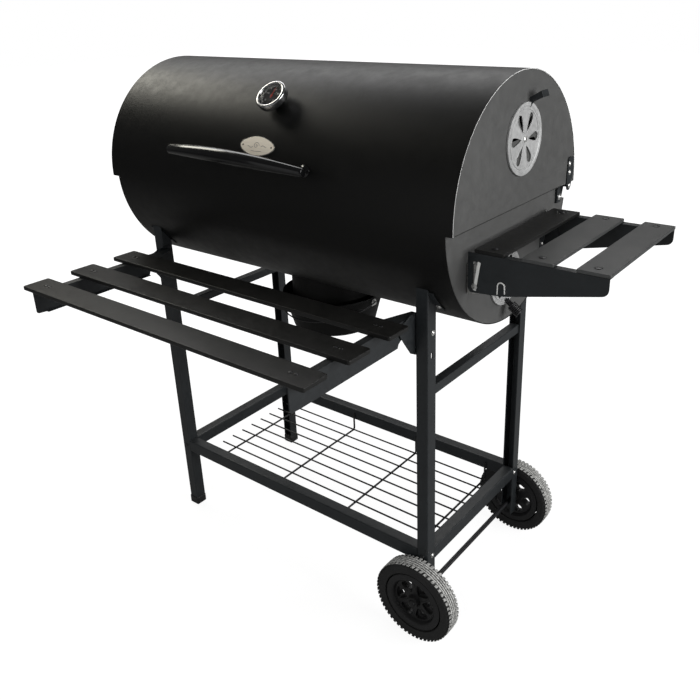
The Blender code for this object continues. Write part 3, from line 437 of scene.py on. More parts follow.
def heads(name, places, radius, height, body, look, washer=True):
    """Several bolt heads as one piece; each place is (point, direction)."""
    parts = []
    for point, direction in places:
        turn = Vector(direction).normalized().to_track_quat("Z", "Y").to_matrix().to_4x4()
        at = Matrix.Translation(Vector(point)) @ turn
        made = [screw_head("head", radius, height)]
        if washer:
            made.append(turned("washer", [
                (0, 0.0007), (radius * 1.35, 0.0007), (radius * 1.45, 0.0004),
                (radius * 1.45, 0.0), (0, 0.0)], 28))
        for part in made:
            part.matrix_world = at
        parts += made
    return put(joined(name, parts), body, look)


# ------------------------------------------------------------------ 2-D shapes and paths
def arc(y, z, radius, start, end, n):
    """An arc by angles in degrees from straight down, positive towards +Y."""
    angles = [math.radians(start + (end - start) * i / n) for i in range(n + 1)]
    return [(y + radius * math.sin(a), z - radius * math.cos(a)) for a in angles]


def down_angle(z, radius):
    """The arc() angle at which a circle about the drum's axis reaches height z."""
    return math.degrees(math.acos((AXIS_Z - z) / radius))


def circle(x, y, radius, n=24):
    return [(x + radius * math.cos(2 * math.pi * i / n),
             y + radius * math.sin(2 * math.pi * i / n)) for i in range(n)]


def rectangle(half_x, half_y):
    return [(-half_x, -half_y), (half_x, -half_y), (half_x, half_y), (-half_x, half_y)]


def rotated(points, angle):
    c, s = math.cos(angle), math.sin(angle)
    return [(x * c - y * s, x * s + y * c) for x, y in points]


def fillet(before, corner, after, radius, steps):
    """The points of a small curve that takes the place of a corner."""
    back, ahead = before - corner, after - corner
    reach = min(radius, back.length * 0.49, ahead.length * 0.49)
    start, end = corner + back.normalized() * reach, corner + ahead.normalized() * reach
    return [start * (1 - t) ** 2 + corner * 2 * t * (1 - t) + end * t * t
            for t in (i / steps for i in range(steps + 1))]


def rounded_path(points, radius, steps):
    """An open 3-D path with its corners rounded."""
    path = [Vector(p) for p in points]
    out = [path[0]]
    for before, corner, after in zip(path, path[1:], path[2:]):
        out += fillet(before, corner, after, radius, steps)
    return out + [path[-1]]


def round_corners(points, radius, steps=4):
    """A closed 2-D outline with rounded corners; radius may be a list, one per corner."""
    ring = [Vector(p) for p in points]
    radii = radius if isinstance(radius, list) else [radius] * len(ring)
    out = []
    for i, (corner, size) in enumerate(zip(ring, radii)):
        if size > 0:
            curve = fillet(ring[i - 1], corner, ring[(i + 1) % len(ring)], size, steps)
            out += [tuple(p) for p in curve]
        else:
            out.append(tuple(corner))
    return out


# ------------------------------------------------------------------ drum
def drum_sheet(name, r_out, r_in, start, end, ends, n=150):
    """A rolled sheet about the drum's axis, between the two X ends."""
    points = arc(0, 0, r_out, start, end, n) + arc(0, 0, r_in, end, start, n)
    return plate_x(name, points, ends[1] - ends[0], (ends[0] + ends[1]) / 2, AXIS_Z)


ASH_HOLE_R = 0.082
bowl = drum_sheet("bowl_skin", R_BOWL, R_BOWL - WALL, -down_angle(BOWL_RIM_Z, R_BOWL),
                  down_angle(BOWL_REAR_Z, R_BOWL), BOWL_X)
bowl = cut(bowl, moved(cylinder(ASH_HOLE_R, 0.03, 72), (BUCKET_X, 0, AXIS_Z - R_BOWL + 0.01)))
put(bevelled(bowl, 0.0004, 2, 50), "frame", DRUM, ("bowl_shell",), angle=30)

# ledges inside the bowl; the rear one has an upright lip
ledge_z = BOWL_REAR_Z - 0.004 - 0.0012
low, high = ledge_z - WALL / 2, ledge_z + WALL / 2
LEDGES = (  # side, outline as (Y, Z)
    ("front", [(-0.2190, low), (-0.1900, low), (-0.1900, high), (-0.2190, high)]),
    ("rear", [(0.1900, low), (0.2190, low), (0.2190, high), (0.2020, high),
              (0.2020, 0.8618), (0.2005, 0.8618), (0.2005, high), (0.1900, high)]))
for side, points in LEDGES:
    put(plate_x("grate_ledge_" + side, points, 0.8397, sum(BOWL_X) / 2, bevel=0.0003),
        "frame", INSIDE)


def outward(angle):
    """The direction out of the drum's front at this angle above level."""
    return Vector((0, -math.cos(angle), math.sin(angle)))


GAUGE_X = 0.0112
gauge_angle = math.radians(47.1)
gauge_dir = outward(gauge_angle)
gauge_rot = (math.pi / 2 - gauge_angle, 0, 0)
gauge_at = Vector((GAUGE_X, gauge_dir.y * R_LID, AXIS_Z + gauge_dir.z * R_LID))

lid_angle = down_angle(LID_RIM_Z, R_LID)
lid = drum_sheet("lid_skin", R_LID, R_LID_IN, lid_angle, 360 - lid_angle, LID_X, n=170)
lid = cut(lid, moved(cylinder(0.0042, 0.02, 32), gauge_at, gauge_rot))
put(bevelled(lid, 0.00045, 2, 50), "lid", DRUM, ("lid_shell",), angle=30)

# one damper slot, as (X, Y) on a disc of PETAL_R; the first point is the inner tip
PETAL = [(0.0180, 0.0026), (0.0270, 0.0056), (0.0360, 0.0080), (0.0430, 0.0088),
         (0.0478, 0.0068), (0.0503, 0.0030)]
INNER_TIP, OUTER_TIP = 0.0130, 0.0508


def petal(x, y, scale, angle, grow=0.0):
    mirrored = [(along, -across) for along, across in reversed(PETAL)]
    shape = [(INNER_TIP - grow, 0.0)] + PETAL + [(OUTER_TIP + grow, 0.0)] + mirrored
    points = [(x + scale * along, y + scale * across) for along, across in rotated(shape, angle)]
    return round_corners(points, 0.002 * scale, 2)


def vent_slots(vent, turn=0.0):
    """The six slots of a vent, in an end plate drawn about the drum's axis."""
    y, z, radius = vent
    return [petal(y, z - AXIS_Z, radius / PETAL_R, i * math.pi / 3 - turn) for i in range(6)]


def end_plate(body, side, sign, radius, start, end, x, corners=(), holes=()):
    """A flat end plate with a rounded edge, and the narrow flange behind that edge."""
    part = "bowl" if body == "frame" else body
    name = f"{part}_end_plate_{side}"
    points = arc(0, 0, radius, start, end, 150) + list(corners)
    plate = plate_x(name, points, WALL, x, AXIS_Z, holes=holes, bevel=0.0006, segments=3,
                    angle=50)
    # the plate's lighter grey is painted light on the drum's ends
    put(plate, body, END_LIT, (f"{part}_end_{side}",))
    ring = (arc(0, 0, radius, start + 0.5, end - 0.5, 120)
            + arc(0, 0, radius - 0.0012, end - 0.5, start + 0.5, 120))
    put(plate_x(name + "_flange", ring, 0.010, x - sign * 0.0058, AXIS_Z), body, INSIDE)


END_INSET, END_GAP = 0.0012, 0.0003
r_bowl_end = R_BOWL - WALL - END_GAP
# the rear of the bowl's end plates steps up to the front rim's height
step = [(0.197, BOWL_REAR_Z - AXIS_Z), (0.197, BOWL_RIM_Z - AXIS_Z)]
for side, sign in RIGHT_LEFT:
    end_plate("frame", side, sign, r_bowl_end, -down_angle(BOWL_RIM_Z, r_bowl_end),
              down_angle(BOWL_REAR_Z, r_bowl_end), BOWL_X[sign > 0] - sign * END_INSET, step,
              vent_slots(LOWER_VENT) if sign > 0 else ())

r_lid_end = R_LID_IN - END_GAP
lid_end_angle = down_angle(LID_RIM_Z, r_lid_end)
for side, sign in RIGHT_LEFT:
    end_plate("lid", side, sign, r_lid_end, lid_end_angle, 360 - lid_end_angle,
              LID_X[sign > 0] - sign * END_INSET,
              holes=vent_slots(UPPER_VENT, math.radians(15)) if sign > 0 else ())
    # painted highlight: a near-white strip along the edge of the rolled lid, standing in for the
    # light that the edge catches
    ring = (arc(0, 0, R_LID - 0.0002, lid_angle + 0.2, 359.8 - lid_angle, 170)
            + arc(0, 0, R_LID_IN + 0.0002, 359.8 - lid_angle, lid_angle + 0.2, 170))
    rim = plate_x("lid_rim_highlight_" + side, ring, 0.0005, LID_X[sign > 0] - sign * 0.0002, AXIS_Z,
                  bevel=0.0002, angle=50)
    rim_highlight_look = surface("rim_highlight_look_" + side, (0.88, 0.88, 0.86), rough=0.35, drift=0.25,
                        blotch=40)
    put(rim, "lid", rim_highlight_look)

# painted shade: a thin dark strip along the lower edge of each lid end, standing in for the
# shadow of the step down to the bowl's end
for side, sign in RIGHT_LEFT:
    shade_strip = moved(box("shade_strip", (0.0005, 0.3900, 0.0016), 0.0002),
                (LID_X[sign > 0] - sign * 0.0002, -0.0250, LID_RIM_Z + 0.0010))
    put(joined("lid_end_hem_" + side, [shade_strip]), "lid", INSIDE)


# ------------------------------------------------------------------ dampers
def damper(name, x, vent):
    """A slotted disc with a raised rim, ring, slot lips and boss, and its centre rivet."""
    y, z, radius = vent
    scale = radius / PETAL_R
    holes = [petal(0, 0, scale, i * math.pi / 3) for i in range(6)]
    parts = [
        outline("disc", circle(0, 0, radius, 96), 0.0018, holes, bevel=0.0004),
        turned("rim", [
            (radius - 0.0004, 0.0026), (radius, 0.0021), (radius, 0.0002),
            (radius - 0.0075, 0.0002), (radius - 0.0075, 0.0011), (radius - 0.0062, 0.0022),
            (radius - 0.0048, 0.0026)], 96, True),
        turned("ring", [
            (radius * 0.845, 0.0013), (radius * 0.835, 0.0019), (radius * 0.810, 0.0019),
            (radius * 0.800, 0.0013), (radius * 0.800, 0.0004), (radius * 0.845, 0.0004)],
            96, True)]
    for i in range(6):
        lip = petal(0, 0, scale, i * math.pi / 3, 0.0010)
        parts.append(rod("lip", [(*point, 0.0009) for point in lip], 0.0006, 2, True))
    parts.append(turned("boss", [
        (0, 0.0016), (0.0090 * scale, 0.0016), (0.0105 * scale, 0.0010),
        (0.0105 * scale, 0.0004), (0, 0.0004)], 48))
    put(moved(joined(name + "_skin", parts), (x, y, z), YZ), name, DAMPER,
        (name,))
    rivet = screw_head(name + "_rivet", 0.0052 * scale + 0.0004, 0.0026)
    put(moved(rivet, (x + 0.0014, y, z), ALONG_X), name, ZINC)


damper("upper_damper", 0.4405, UPPER_VENT)
damper("lower_damper", 0.4251, LOWER_VENT)

# the tab of the upper damper: a web square to the disc, its end turned rearwards; (X, Z)
TAB_WEB = [(0.4400, 1.0335), (0.4424, 1.0335), (0.4462, 1.0419), (0.4647, 1.0512),
           (0.4607, 1.0619), (0.4420, 1.0512), (0.4400, 1.0512)]
TAB_WEB_RADII = [0, 0, 0.003, 0.0008, 0.0008, 0.003, 0.0008]
TAB_END = [(0.4648, 1.0512), (0.4607, 1.0620), (0.4593, 1.0613), (0.4634, 1.0505)]
tab_web = plate_y("tab_web", round_corners(TAB_WEB, TAB_WEB_RADII), 0.0018, 0.0160, bevel=0.0004)
tab_end = plate_y("tab_end", TAB_END, 0.0238, 0.0271, bevel=0.0004)
put(joined("damper_tab_skin", [tab_web, tab_end]), "upper_damper", FRAME)

# the lower damper's grip: a wire coil on a core that slants down and outwards
GRIP_DIR = Vector((0.80, 0.0, -0.60))
GRIP_TURN = (0, math.pi / 2 + math.asin(0.60), 0)
COIL_R, COIL_PITCH, COIL_TURNS, COIL_STEPS = 0.0084, 0.0031, 7, 28
grip_start = Vector((0.4285, LOWER_VENT[0] + 0.004, LOWER_VENT[1] - 0.0475))
coil = []
for i in range(COIL_TURNS * COIL_STEPS + 1):
    a = 2 * math.pi * i / COIL_STEPS
    coil.append((COIL_R * math.cos(a), COIL_R * math.sin(a), COIL_PITCH * i / COIL_STEPS))
put(moved(rod("spring_grip_coil", coil, 0.0012, 3), grip_start + GRIP_DIR * 0.0125, GRIP_TURN),
    "lower_damper", WIRE, ("damper_spring_grip",))
core = turned("spring_core", [(0, 0.0175), (0.0042, 0.0175), (0.0050, 0.0162),
                              (0.0050, -0.0178), (0, -0.0178)], 32)
put(moved(core, grip_start + GRIP_DIR * 0.0165, GRIP_TURN), "lower_damper", WIRE)

# ------------------------------------------------------------------ lid handle
HANDLE_HALF, HANDLE_END = 0.172, 0.006          # half length; length of each rounded end
POST_X = 0.128
BAR_STEPS, BAR_SIDES = 72, 32
handle_angle = math.radians(16.26)
handle_dir = outward(handle_angle)
handle_up = Vector((0, math.sin(handle_angle), math.cos(handle_angle)))


def bar_point(x):
    """The bar's centre line, bowed outwards and up."""
    bow = 1 - (x / HANDLE_HALF) ** 2
    return (Vector((x, 0, AXIS_Z + 0.0042 * bow - 0.024 * x))
            + handle_dir * (0.2815 + 0.0180 * bow))


def bar_radius(x):
    """Thickest in the middle, and thinner towards the right end than the left."""
    along = x / HANDLE_HALF
    return (0.0100 + 0.0038 * (1 - along ** 2)) * (1 - 0.22 * max(0.0, along) ** 2)


def handle_bar():
    bm = bmesh.new()
    rings = []
    for i in range(BAR_STEPS + 1):
        x = HANDLE_HALF * -math.cos(math.pi * i / BAR_STEPS)        # finer towards the ends
        inset = max(0.0, (HANDLE_END - (HANDLE_HALF - abs(x))) / HANDLE_END)
        cap = math.sqrt(1 - inset ** 2) * 0.25 + 0.73
        ring = []
        for k in range(BAR_SIDES):
            a = 2 * math.pi * k / BAR_SIDES
            ring.append(bm.verts.new(bar_point(x)
                                     + (handle_dir * math.cos(a) + handle_up * math.sin(a))
                                     * (bar_radius(x) * cap)))
        rings.append(ring)
    for a, b in zip(rings, rings[1:]):
        for k in range(BAR_SIDES):
            j = (k + 1) % BAR_SIDES
            bm.faces.new((a[k], a[j], b[j], b[k]))
    bm.faces.new(rings[0])
    bm.faces.new(rings[-1])
    bmesh.ops.recalc_face_normals(bm, faces=bm.faces)
    return from_bmesh("handle_bar", bm)


put(handle_bar(), "lid", GLOSS, ("lid_handle",), angle=50, weighted=False)
for side, sign in LEFT_RIGHT:
    x = sign * POST_X
    top = bar_point(x)
    lean = math.atan2(top.z - AXIS_Z, -top.y)
    low = R_LID + 0.0001
    height = math.hypot(top.y, top.z - AXIS_Z) - bar_radius(x) + 0.0030 - low
    post = turned("handle_stand_" + side, [
        (0, height), (0.0062, height), (0.0062, 0.006), (0.0085, 0.0035),
        (0.0115, 0.0020), (0.0120, 0.0008), (0.0120, 0.0), (0, 0.0)], 48)
    put(moved(post, (x, -low * math.cos(lean), AXIS_Z + low * math.sin(lean)),
              (math.pi / 2 - lean, 0, 0)), "lid", GLOSS, ("handle_post_" + side,))

# ------------------------------------------------------------------ thermometer
# profiles are (radius, height above the lid)
case = turned("gauge_case", [
    (0, 0.0168), (0.0246, 0.0170), (0.0247, 0.0236), (0.0254, 0.0246), (0.0268, 0.0250),
    (0.0288, 0.0249), (0.0302, 0.0241), (0.0309, 0.0228), (0.0309, 0.0130), (0.0300, 0.0110),
    (0.0285, 0.0098), (0, 0.0098)], 96)
put(moved(case, gauge_at, gauge_rot), "lid", CHROME, ("thermometer_body",))
back = turned("gauge_back", [
    (0, 0.0097), (0.0275, 0.0095), (0.0250, 0.0088), (0.0120, 0.0082), (0.0112, 0.0070),
    (0.0112, 0.0004), (0.0042, 0.0002), (0.0036, 0.0), (0.0034, -0.0500), (0, -0.0520)], 72)
put(moved(back, gauge_at, gauge_rot), "lid", PLASTIC)

DIAL_H, POINTER_H, PANE_H = 0.0179, 0.0193, 0.0218
MARK_Z = 0.00045
SCALE_START, SCALE_SWEEP = 225, 270             # degrees; the scale runs clockwise


def on_gauge(obj, height):
    return moved(obj, gauge_at + gauge_dir * height, gauge_rot)


def scale_angle(i, n):
    return math.radians(SCALE_START - SCALE_SWEEP * i / n)


def gauge_marks():
    """The scale's strokes, its outer ring and its numerals."""
    marks = []
    for i in range(41):
        inner, half = (0.0180, 0.00045) if i % 5 == 0 else (0.0202, 0.00025)
        stroke = outline("stroke", [(inner, -half), (0.0222, -half), (0.0222, half),
                                    (inner, half)], 0.00016)
        marks.append(moved(stroke, (0, 0, MARK_Z), (0, 0, scale_angle(i, 40))))
    ring = outline("ring", circle(0, 0, 0.0233, 72), 0.00016, [circle(0, 0, 0.0229, 72)])
    marks.append(moved(ring, (0, 0, MARK_Z)))
    for i, label in enumerate(("0", "100", "200", "300", "400")):
        a = scale_angle(i, 4)
        text = bpy.data.curves.new("numeral", "FONT")
        text.body, text.size, text.extrude = label, 0.0045, 0.00008
        text.align_x = text.align_y = "CENTER"
        numeral = as_mesh(bpy.data.objects.new("numeral", text), weld=0)
        marks.append(moved(numeral, (0.0142 * math.cos(a), 0.0142 * math.sin(a), MARK_Z)))
    return joined("gauge_marks", marks)


dial = turned("gauge_face", [(0, 0.0004), (0.0238, 0.0004), (0.0240, 0.0001),
                             (0.0240, -0.0003), (0, -0.0003)], 72)
put(on_gauge(dial, DIAL_H), "lid", DIAL, ("thermometer_dial",))
put(on_gauge(gauge_marks(), DIAL_H), "lid", MARK, weighted=False)
pointer = outline("pointer", [(-0.0011, -0.0050), (0.0011, -0.0050), (0.0009, 0.010),
                              (0.0001, 0.0178), (-0.0001, 0.0178), (-0.0009, 0.010)],
                  0.0004, bevel=0.0001)
pointer_cap = turned("pointer_cap", [(0, 0.0010), (0.0018, 0.0008), (0.0023, 0.0), (0, 0.0)], 32)
put(on_gauge(joined("gauge_pointer_skin", [pointer, pointer_cap]), POINTER_H), "needle", NEEDLE,
    ("thermometer_needle",))
pane = turned("gauge_pane", [(0, 0.0010), (0.012, 0.0008), (0.0240, 0.0003),
                             (0.0240, -0.0004), (0, -0.0004)], 96)
put(on_gauge(pane, PANE_H), "lid", GLASS, ("thermometer_glass",), angle=60,
    weighted=False)

# ------------------------------------------------------------------ nameplate
NAMEPLATE_X = 0.0038
nameplate_angle = math.radians(24.3)
nameplate_dir = outward(nameplate_angle)


def oval(scale, n=72):
    """The plate's outline: an ellipse that is slimmer towards its two ends."""
    angles = [2 * math.pi * i / n for i in range(n)]
    return [(0.0449 * scale * math.cos(a),
             0.0183 * scale * math.sin(a) * (1 - 0.18 * math.cos(a) ** 2)) for a in angles]


def on_nameplate(obj, height, x=0.0):
    out = nameplate_dir * (R_LID + height)
    return moved(obj, (NAMEPLATE_X + x, out.y, out.z + AXIS_Z),
                 (math.pi / 2 - nameplate_angle, 0, 0))


def ornament():
    """A spiral, a curved stroke on each side of it and a line below."""
    spiral = []
    for i in range(29):
        t = i / 28
        a = 2 * math.pi * t * 1.6
        spiral.append((0.0075 * (1 - t) * math.cos(a) - 0.002,
                       0.0065 * (1 - t) * math.sin(a) + 0.001, 0))
    parts = [rod("spiral", spiral, 0.00035, 2)]
    for sign in (-1, 1):
        sweep = []
        for i in range(17):
            t = i / 16
            sweep.append((sign * (0.010 + 0.014 * t),
                          -0.001 + 0.0045 * math.sin(math.pi * t) * (1 - t) * sign, 0))
        parts.append(rod("sweep", sweep, 0.00032, 2))
    parts.append(rod("line", [(-0.013, -0.0092, 0), (-0.004, -0.0100, 0), (0.013, -0.0092, 0)],
                     0.00028, 2))
    return joined("nameplate_ornament", parts)


plate = outline("nameplate_base", oval(1.0), 0.0011, bevel=0.0004, segments=3)
put(on_nameplate(plate, 0.0009), "lid", SILVER, ("nameplate",))
field = outline("nameplate_field", oval(0.945), 0.0004, bevel=0.0001)
put(on_nameplate(field, 0.0015), "lid", CREAM)
put(on_nameplate(ornament(), 0.00172), "lid", BROWN)
for side, sign in LEFT_RIGHT:
    rivet = screw_head("nameplate_rivet_" + side, 0.0017, 0.0009)
    put(on_nameplate(rivet, 0.0016, sign * 0.0365), "lid", BROWN)

# ------------------------------------------------------------------ lid hinges
# outlines as (Y, Z); the leaf is on the lid's end and the ear on the bowl's
HINGE_LEAF = round_corners([(0.1930, 0.9138), (0.1910, 0.8878)]
                           + arc(PIVOT_Y, PIVOT_Z, 0.0090, -75, 75, 14)
                           + [(0.2165, 0.8818), (0.2150, 0.9118), (0.2120, 0.9153),
                              (0.1960, 0.9168)], 0.0015, 2)
HINGE_EAR = round_corners([(0.179, 0.8268), (0.1955, 0.8268)]
                          + arc(PIVOT_Y, PIVOT_Z, 0.008, 40, 210, 18)
                          + [(0.179, 0.8538)], 0.0015, 2)
for side, sign, ear_x, tip_x in (("right", 1, 0.4263, 0.4421), ("left", -1, -0.4228, -0.4386)):
    leaf_x = LID_X[sign > 0] + sign * 0.0012
    leaf = plate_x("hinge_leaf_" + side, HINGE_LEAF, 0.0016, leaf_x,
                   holes=(circle(PIVOT_Y, PIVOT_Z, 0.0034),), bevel=0.0004)
    put(leaf, "lid", FRAME, ("lid_hinge_" + side,))
    ear = plate_x("ear", HINGE_EAR, 0.0044, ear_x, bevel=0.0005)
    pin = moved(cylinder(0.003, 0.0079, 32), ((ear_x + tip_x) / 2, PIVOT_Y, PIVOT_Z), ALONG_X)
    put(joined("hinge_ear_skin_" + side, [ear, pin]), "frame", FRAME,
        ("bowl_hinge_" + side,))
    out = (sign, 0, 0)
    heads("hinge_pin_head_" + side, [((tip_x, PIVOT_Y, PIVOT_Z), out)], 0.0050, 0.0024,
          "frame", ZINC, washer=False)
    heads("hinge_leaf_bolts_" + side, [((leaf_x + sign * 0.0008, 0.1985, 0.9030), out),
                                       ((leaf_x + sign * 0.0008, 0.2005, 0.8860), out)],
          0.0036, 0.0024, "lid", ZINC)
    heads("hinge_ear_bolt_" + side, [((ear_x + sign * 0.0022, 0.1895, 0.8378), out)],
          0.0044, 0.0030, "frame", ZINC)


# ------------------------------------------------------------------ legs
def drum_cylinder():
    """The bowl's outside with a little clearance, for cutting what meets it."""
    return moved(cylinder(R_BOWL + 0.0004, 0.5, 256), (0, 0, AXIS_Z), ALONG_X)


LEG_TOP, LEFT_BOTTOM, RIGHT_BOTTOM = 0.77, 0.0222, 0.062
LEG_WALL = 0.002
half = LEG_T / 2
LEG_SECTION = round_corners(
    [(-half, -half), (half, -half), (half, half), (half - LEG_WALL, half),
     (half - LEG_WALL, -half + LEG_WALL), (-half + LEG_WALL, -half + LEG_WALL),
     (-half + LEG_WALL, half), (-half, half)],
    [0.0030, 0.0030, 0.0004, 0.0004, 0.0012, 0.0012, 0.0004, 0.0004], 5)
# the saddle strip between leg and bowl, by its two edges in Y
SADDLE_Y = (0.188, 0.150)
R_SADDLE = R_BOWL + 0.0028
saddle_angles = [math.degrees(math.asin(y / R_BOWL)) for y in SADDLE_Y]
SADDLE = (arc(0, 0, R_BOWL + 0.0006, *saddle_angles, 16)
          + arc(0, 0, R_SADDLE, *saddle_angles[::-1], 16))
saddle_bolt = math.asin(0.162 / R_BOWL)


def leg(end, side, y_sign, x_sign):
    """A channel leg that opens towards the middle, with its saddle strip."""
    name = f"{end}_{side}"
    bottom = LEFT_BOTTOM if x_sign < 0 else RIGHT_BOTTOM
    x, y = x_sign * (LEG_X - LEG_T / 2), y_sign * (LEG_Y - LEG_T / 2)
    post = outline("post", LEG_SECTION, LEG_TOP - bottom)
    post = moved(post, (x, y, (LEG_TOP + bottom) / 2), (0, 0, math.pi if y_sign > 0 else 0))
    post = cut(post, drum_cylinder())
    saddle = plate_x("saddle", [(a * y_sign, b) for a, b in SADDLE], 0.036,
                     x_sign * (LEG_X - 0.008), AXIS_Z, bevel=0.0004, angle=50)
    if x_sign > 0:          # the axle hole and a small slot high on the outer side
        post = cut(post, moved(cylinder(0.0054, 0.006, 32),
                               (AXLE_X, y_sign * (LEG_Y - 0.001), WHEEL_R), ALONG_Y))
        post = cut(post, moved(box("slot", (0.012, 0.0045, 0.0120), 0.0018),
                               (LEG_X - 0.001, y_sign * 0.1785, 0.6225)))
    put(joined("leg_skin_" + name, [post, saddle]), "frame", FRAME,
        ("leg_" + name,), angle=30)
    if x_sign < 0:
        foot = box("foot_cap_" + name, (0.0288, 0.0288, 0.0220), 0.003, 4)
        put(moved(foot, (x, y, 0.0110)), "frame", PLASTIC, ("foot_" + end,))


leg_bolts, rail_bolts = [], []
for end, y_sign in FRONT_REAR:
    for side, x_sign in LEFT_RIGHT:
        leg(end, side, y_sign, x_sign)
        # one bolt through the saddle, two on the leg's outer side and one on its face
        out_y, down = math.sin(saddle_bolt), math.cos(saddle_bolt)
        leg_bolts += [((x_sign * (LEG_X + 0.0045), y_sign * R_SADDLE * out_y,
                        AXIS_Z - R_SADDLE * down), (0, y_sign * out_y, -down)),
                      ((x_sign * LEG_X, y_sign * 0.1745, 0.6655), (x_sign, 0, 0)),
                      ((x_sign * LEG_X, y_sign * 0.1745, 0.1770), (x_sign, 0, 0))]
        rail_bolts.append(((x_sign * (LEG_X - 0.013), y_sign * LEG_Y, 0.1780), (0, y_sign, 0)))
heads("leg_bolts", leg_bolts, 0.0036, 0.0026, "frame", ZINC)
heads("rail_bolts", rail_bolts, 0.0036, 0.0024, "frame", WIRE)

# ------------------------------------------------------------------ rails and wire shelf
TUBE_WALL = 0.0015


def tube(name, width, height, half_span, at, rot, replaces, corner=0.003):
    """A square tube between two legs, whose inner faces are half_span from the middle."""
    half_w, half_h = width / 2, height / 2
    outer = round_corners(rectangle(half_w, half_h), corner, 5)
    inner = round_corners(rectangle(half_w - TUBE_WALL, half_h - TUBE_WALL), corner - 0.0012)
    put(moved(outline(name, outer, 2 * (half_span - 0.0003), (inner,)), at, rot), "frame",
        FRAME, (replaces,), angle=30)


rail_z = RAIL_TOP - RAIL_H / 2
BRACE_T, BRACE_Z = 0.020, 0.546
for end, sign in FRONT_REAR:
    tube("rail_tube_" + end, RAIL_T, RAIL_H, LEG_X - LEG_T,
         (0, sign * (LEG_Y - RAIL_T / 2), rail_z), YZ, "rail_" + end)
for side, sign in LEFT_RIGHT:
    tube("rail_tube_" + side, RAIL_T, RAIL_H, LEG_Y - LEG_T,
         (sign * (LEG_X - RAIL_T / 2), 0, rail_z), XZ, "rail_" + side)
    tube("brace_tube_" + side, BRACE_T, BRACE_T, LEG_Y - LEG_T,
         (sign * (LEG_X - LEG_T / 2), 0, BRACE_Z), XZ, "brace_" + side, 0.0026)

# long wires on four cross wires whose ends turn up inside the rails
SHELF_Z, SHELF_FIRST_Y, SHELF_PITCH = 0.138, -0.15615, 0.0347
wire_x, wire_y = LEG_X - LEG_T - 0.0015, LEG_Y - RAIL_T - 0.0029
low, top = SHELF_Z - 0.0022 - 0.0012, RAIL_TOP - 0.012
wires = []
for i in range(10):
    y = SHELF_FIRST_Y + i * SHELF_PITCH
    wires.append(rod("long", [(-wire_x, y, SHELF_Z), (wire_x, y, SHELF_Z)], 0.0020, 3))
for x in (-0.298, -0.100, 0.100, 0.298):
    path = [(x, -wire_y, top), (x, -wire_y, low), (x, wire_y, low), (x, wire_y, top)]
    wires.append(rod("cross", rounded_path(path, 0.007, 8), 0.0024, 3))
put(joined("wire_shelf", wires), "frame", WIRE, ("bottom_shelf",), angle=60,
    weighted=False)

# ------------------------------------------------------------------ wheels
axle = turned("axle_rod", [(0, 0.2335), (0.0045, 0.2335), (0.0050, 0.2325), (0.0050, -0.2325),
                           (0.0045, -0.2335), (0, -0.2335)], 48)
put(moved(axle, (AXLE_X, 0, WHEEL_R), ALONG_Y), "frame", WIRE, ("axle",))
for end, sign in FRONT_REAR:
    cap = turned("axle_cap_" + end, [(0, 0.0050), (0.0035, 0.0048), (0.0060, 0.0036),
                                     (0.0072, 0.0015), (0.0074, 0.0), (0, 0.0)], 36)
    put(moved(cap, (AXLE_X, sign * 0.2300, WHEEL_R), (-sign * math.pi / 2, 0, 0)), "frame",
        PLASTIC)

BLOCKS = 56                                     # round the tyre, on each shoulder
BLOCK_R, BLOCK_Z, BLOCK_W = 0.0883, 0.0136, 0.0066
BLOCK_ARC, BLOCK_SKEW = 2 * math.pi / BLOCKS * 0.60, 0.02


def tread_block(z, angle):
    """One tread block centred at height z, its outer edges drawn in a little."""
    bm = bmesh.new()
    rows = []                                   # low and high row at each of three radii
    for radius, taper in ((BLOCK_R - 0.0022, 1.0), (BLOCK_R - 0.0003, 1.0), (BLOCK_R, 0.90)):
        for rise in (-BLOCK_W / 2, BLOCK_W / 2):
            row = []
            for i in range(3):
                a = angle + BLOCK_ARC * taper * (i / 2 - 0.5) + BLOCK_SKEW * (rise / BLOCK_W)
                row.append(bm.verts.new((radius * math.cos(a), radius * math.sin(a),
                                         z + rise * taper)))
            rows.append(row)
    for k in (0, 2):
        low, high, low_out, high_out = rows[k:k + 4]
        for i in range(2):
            bm.faces.new((low[i], low[i + 1], low_out[i + 1], low_out[i]))
            bm.faces.new((high[i], high_out[i], high_out[i + 1], high[i + 1]))
        bm.faces.new((low[0], low_out[0], high_out[0], high[0]))
        bm.faces.new((low[-1], high[-1], high_out[-1], low_out[-1]))
    for i in range(2):
        bm.faces.new((rows[4][i], rows[4][i + 1], rows[5][i + 1], rows[5][i]))
        bm.faces.new((rows[0][i], rows[1][i], rows[1][i + 1], rows[0][i + 1]))
    bmesh.ops.recalc_face_normals(bm, faces=bm.faces)
    return from_bmesh("block", bm)


# the tyre's section as (radius, height), from one bead to the middle of the tread
TYRE_HALF = [(0.0665, 0.0170), (0.0690, 0.0178), (0.0740, 0.0180), (0.0765, 0.0174),
             (0.0785, 0.0178), (0.0820, 0.0176), (0.0850, 0.0160), (0.0868, 0.0135),
             (0.0870, 0.0)]
TYRE_INNER = [(0.0655, -0.0100), (0.0642, 0.0), (0.0655, 0.0100)]


def tyre(name):
    mirrored = [(r, -z) for r, z in reversed(TYRE_HALF[:-1])]
    parts = [turned("carcass", TYRE_HALF + mirrored + TYRE_INNER, 96, True)]
    for z in (-0.0078, -0.0027, 0.0027, 0.0078):        # worn ribs round the middle
        parts.append(turned("rib", [
            (0.0866, z + 0.0018), (0.0886, z + 0.0016), (0.0889, z + 0.0012),
            (0.0889, z - 0.0012), (0.0886, z - 0.0016), (0.0866, z - 0.0018)], 120, True))
    for i in range(BLOCKS):
        for z in (-BLOCK_Z, BLOCK_Z):
            parts.append(tread_block(z, 2 * math.pi * i / BLOCKS))
    return joined("tyre_skin_" + name, parts)


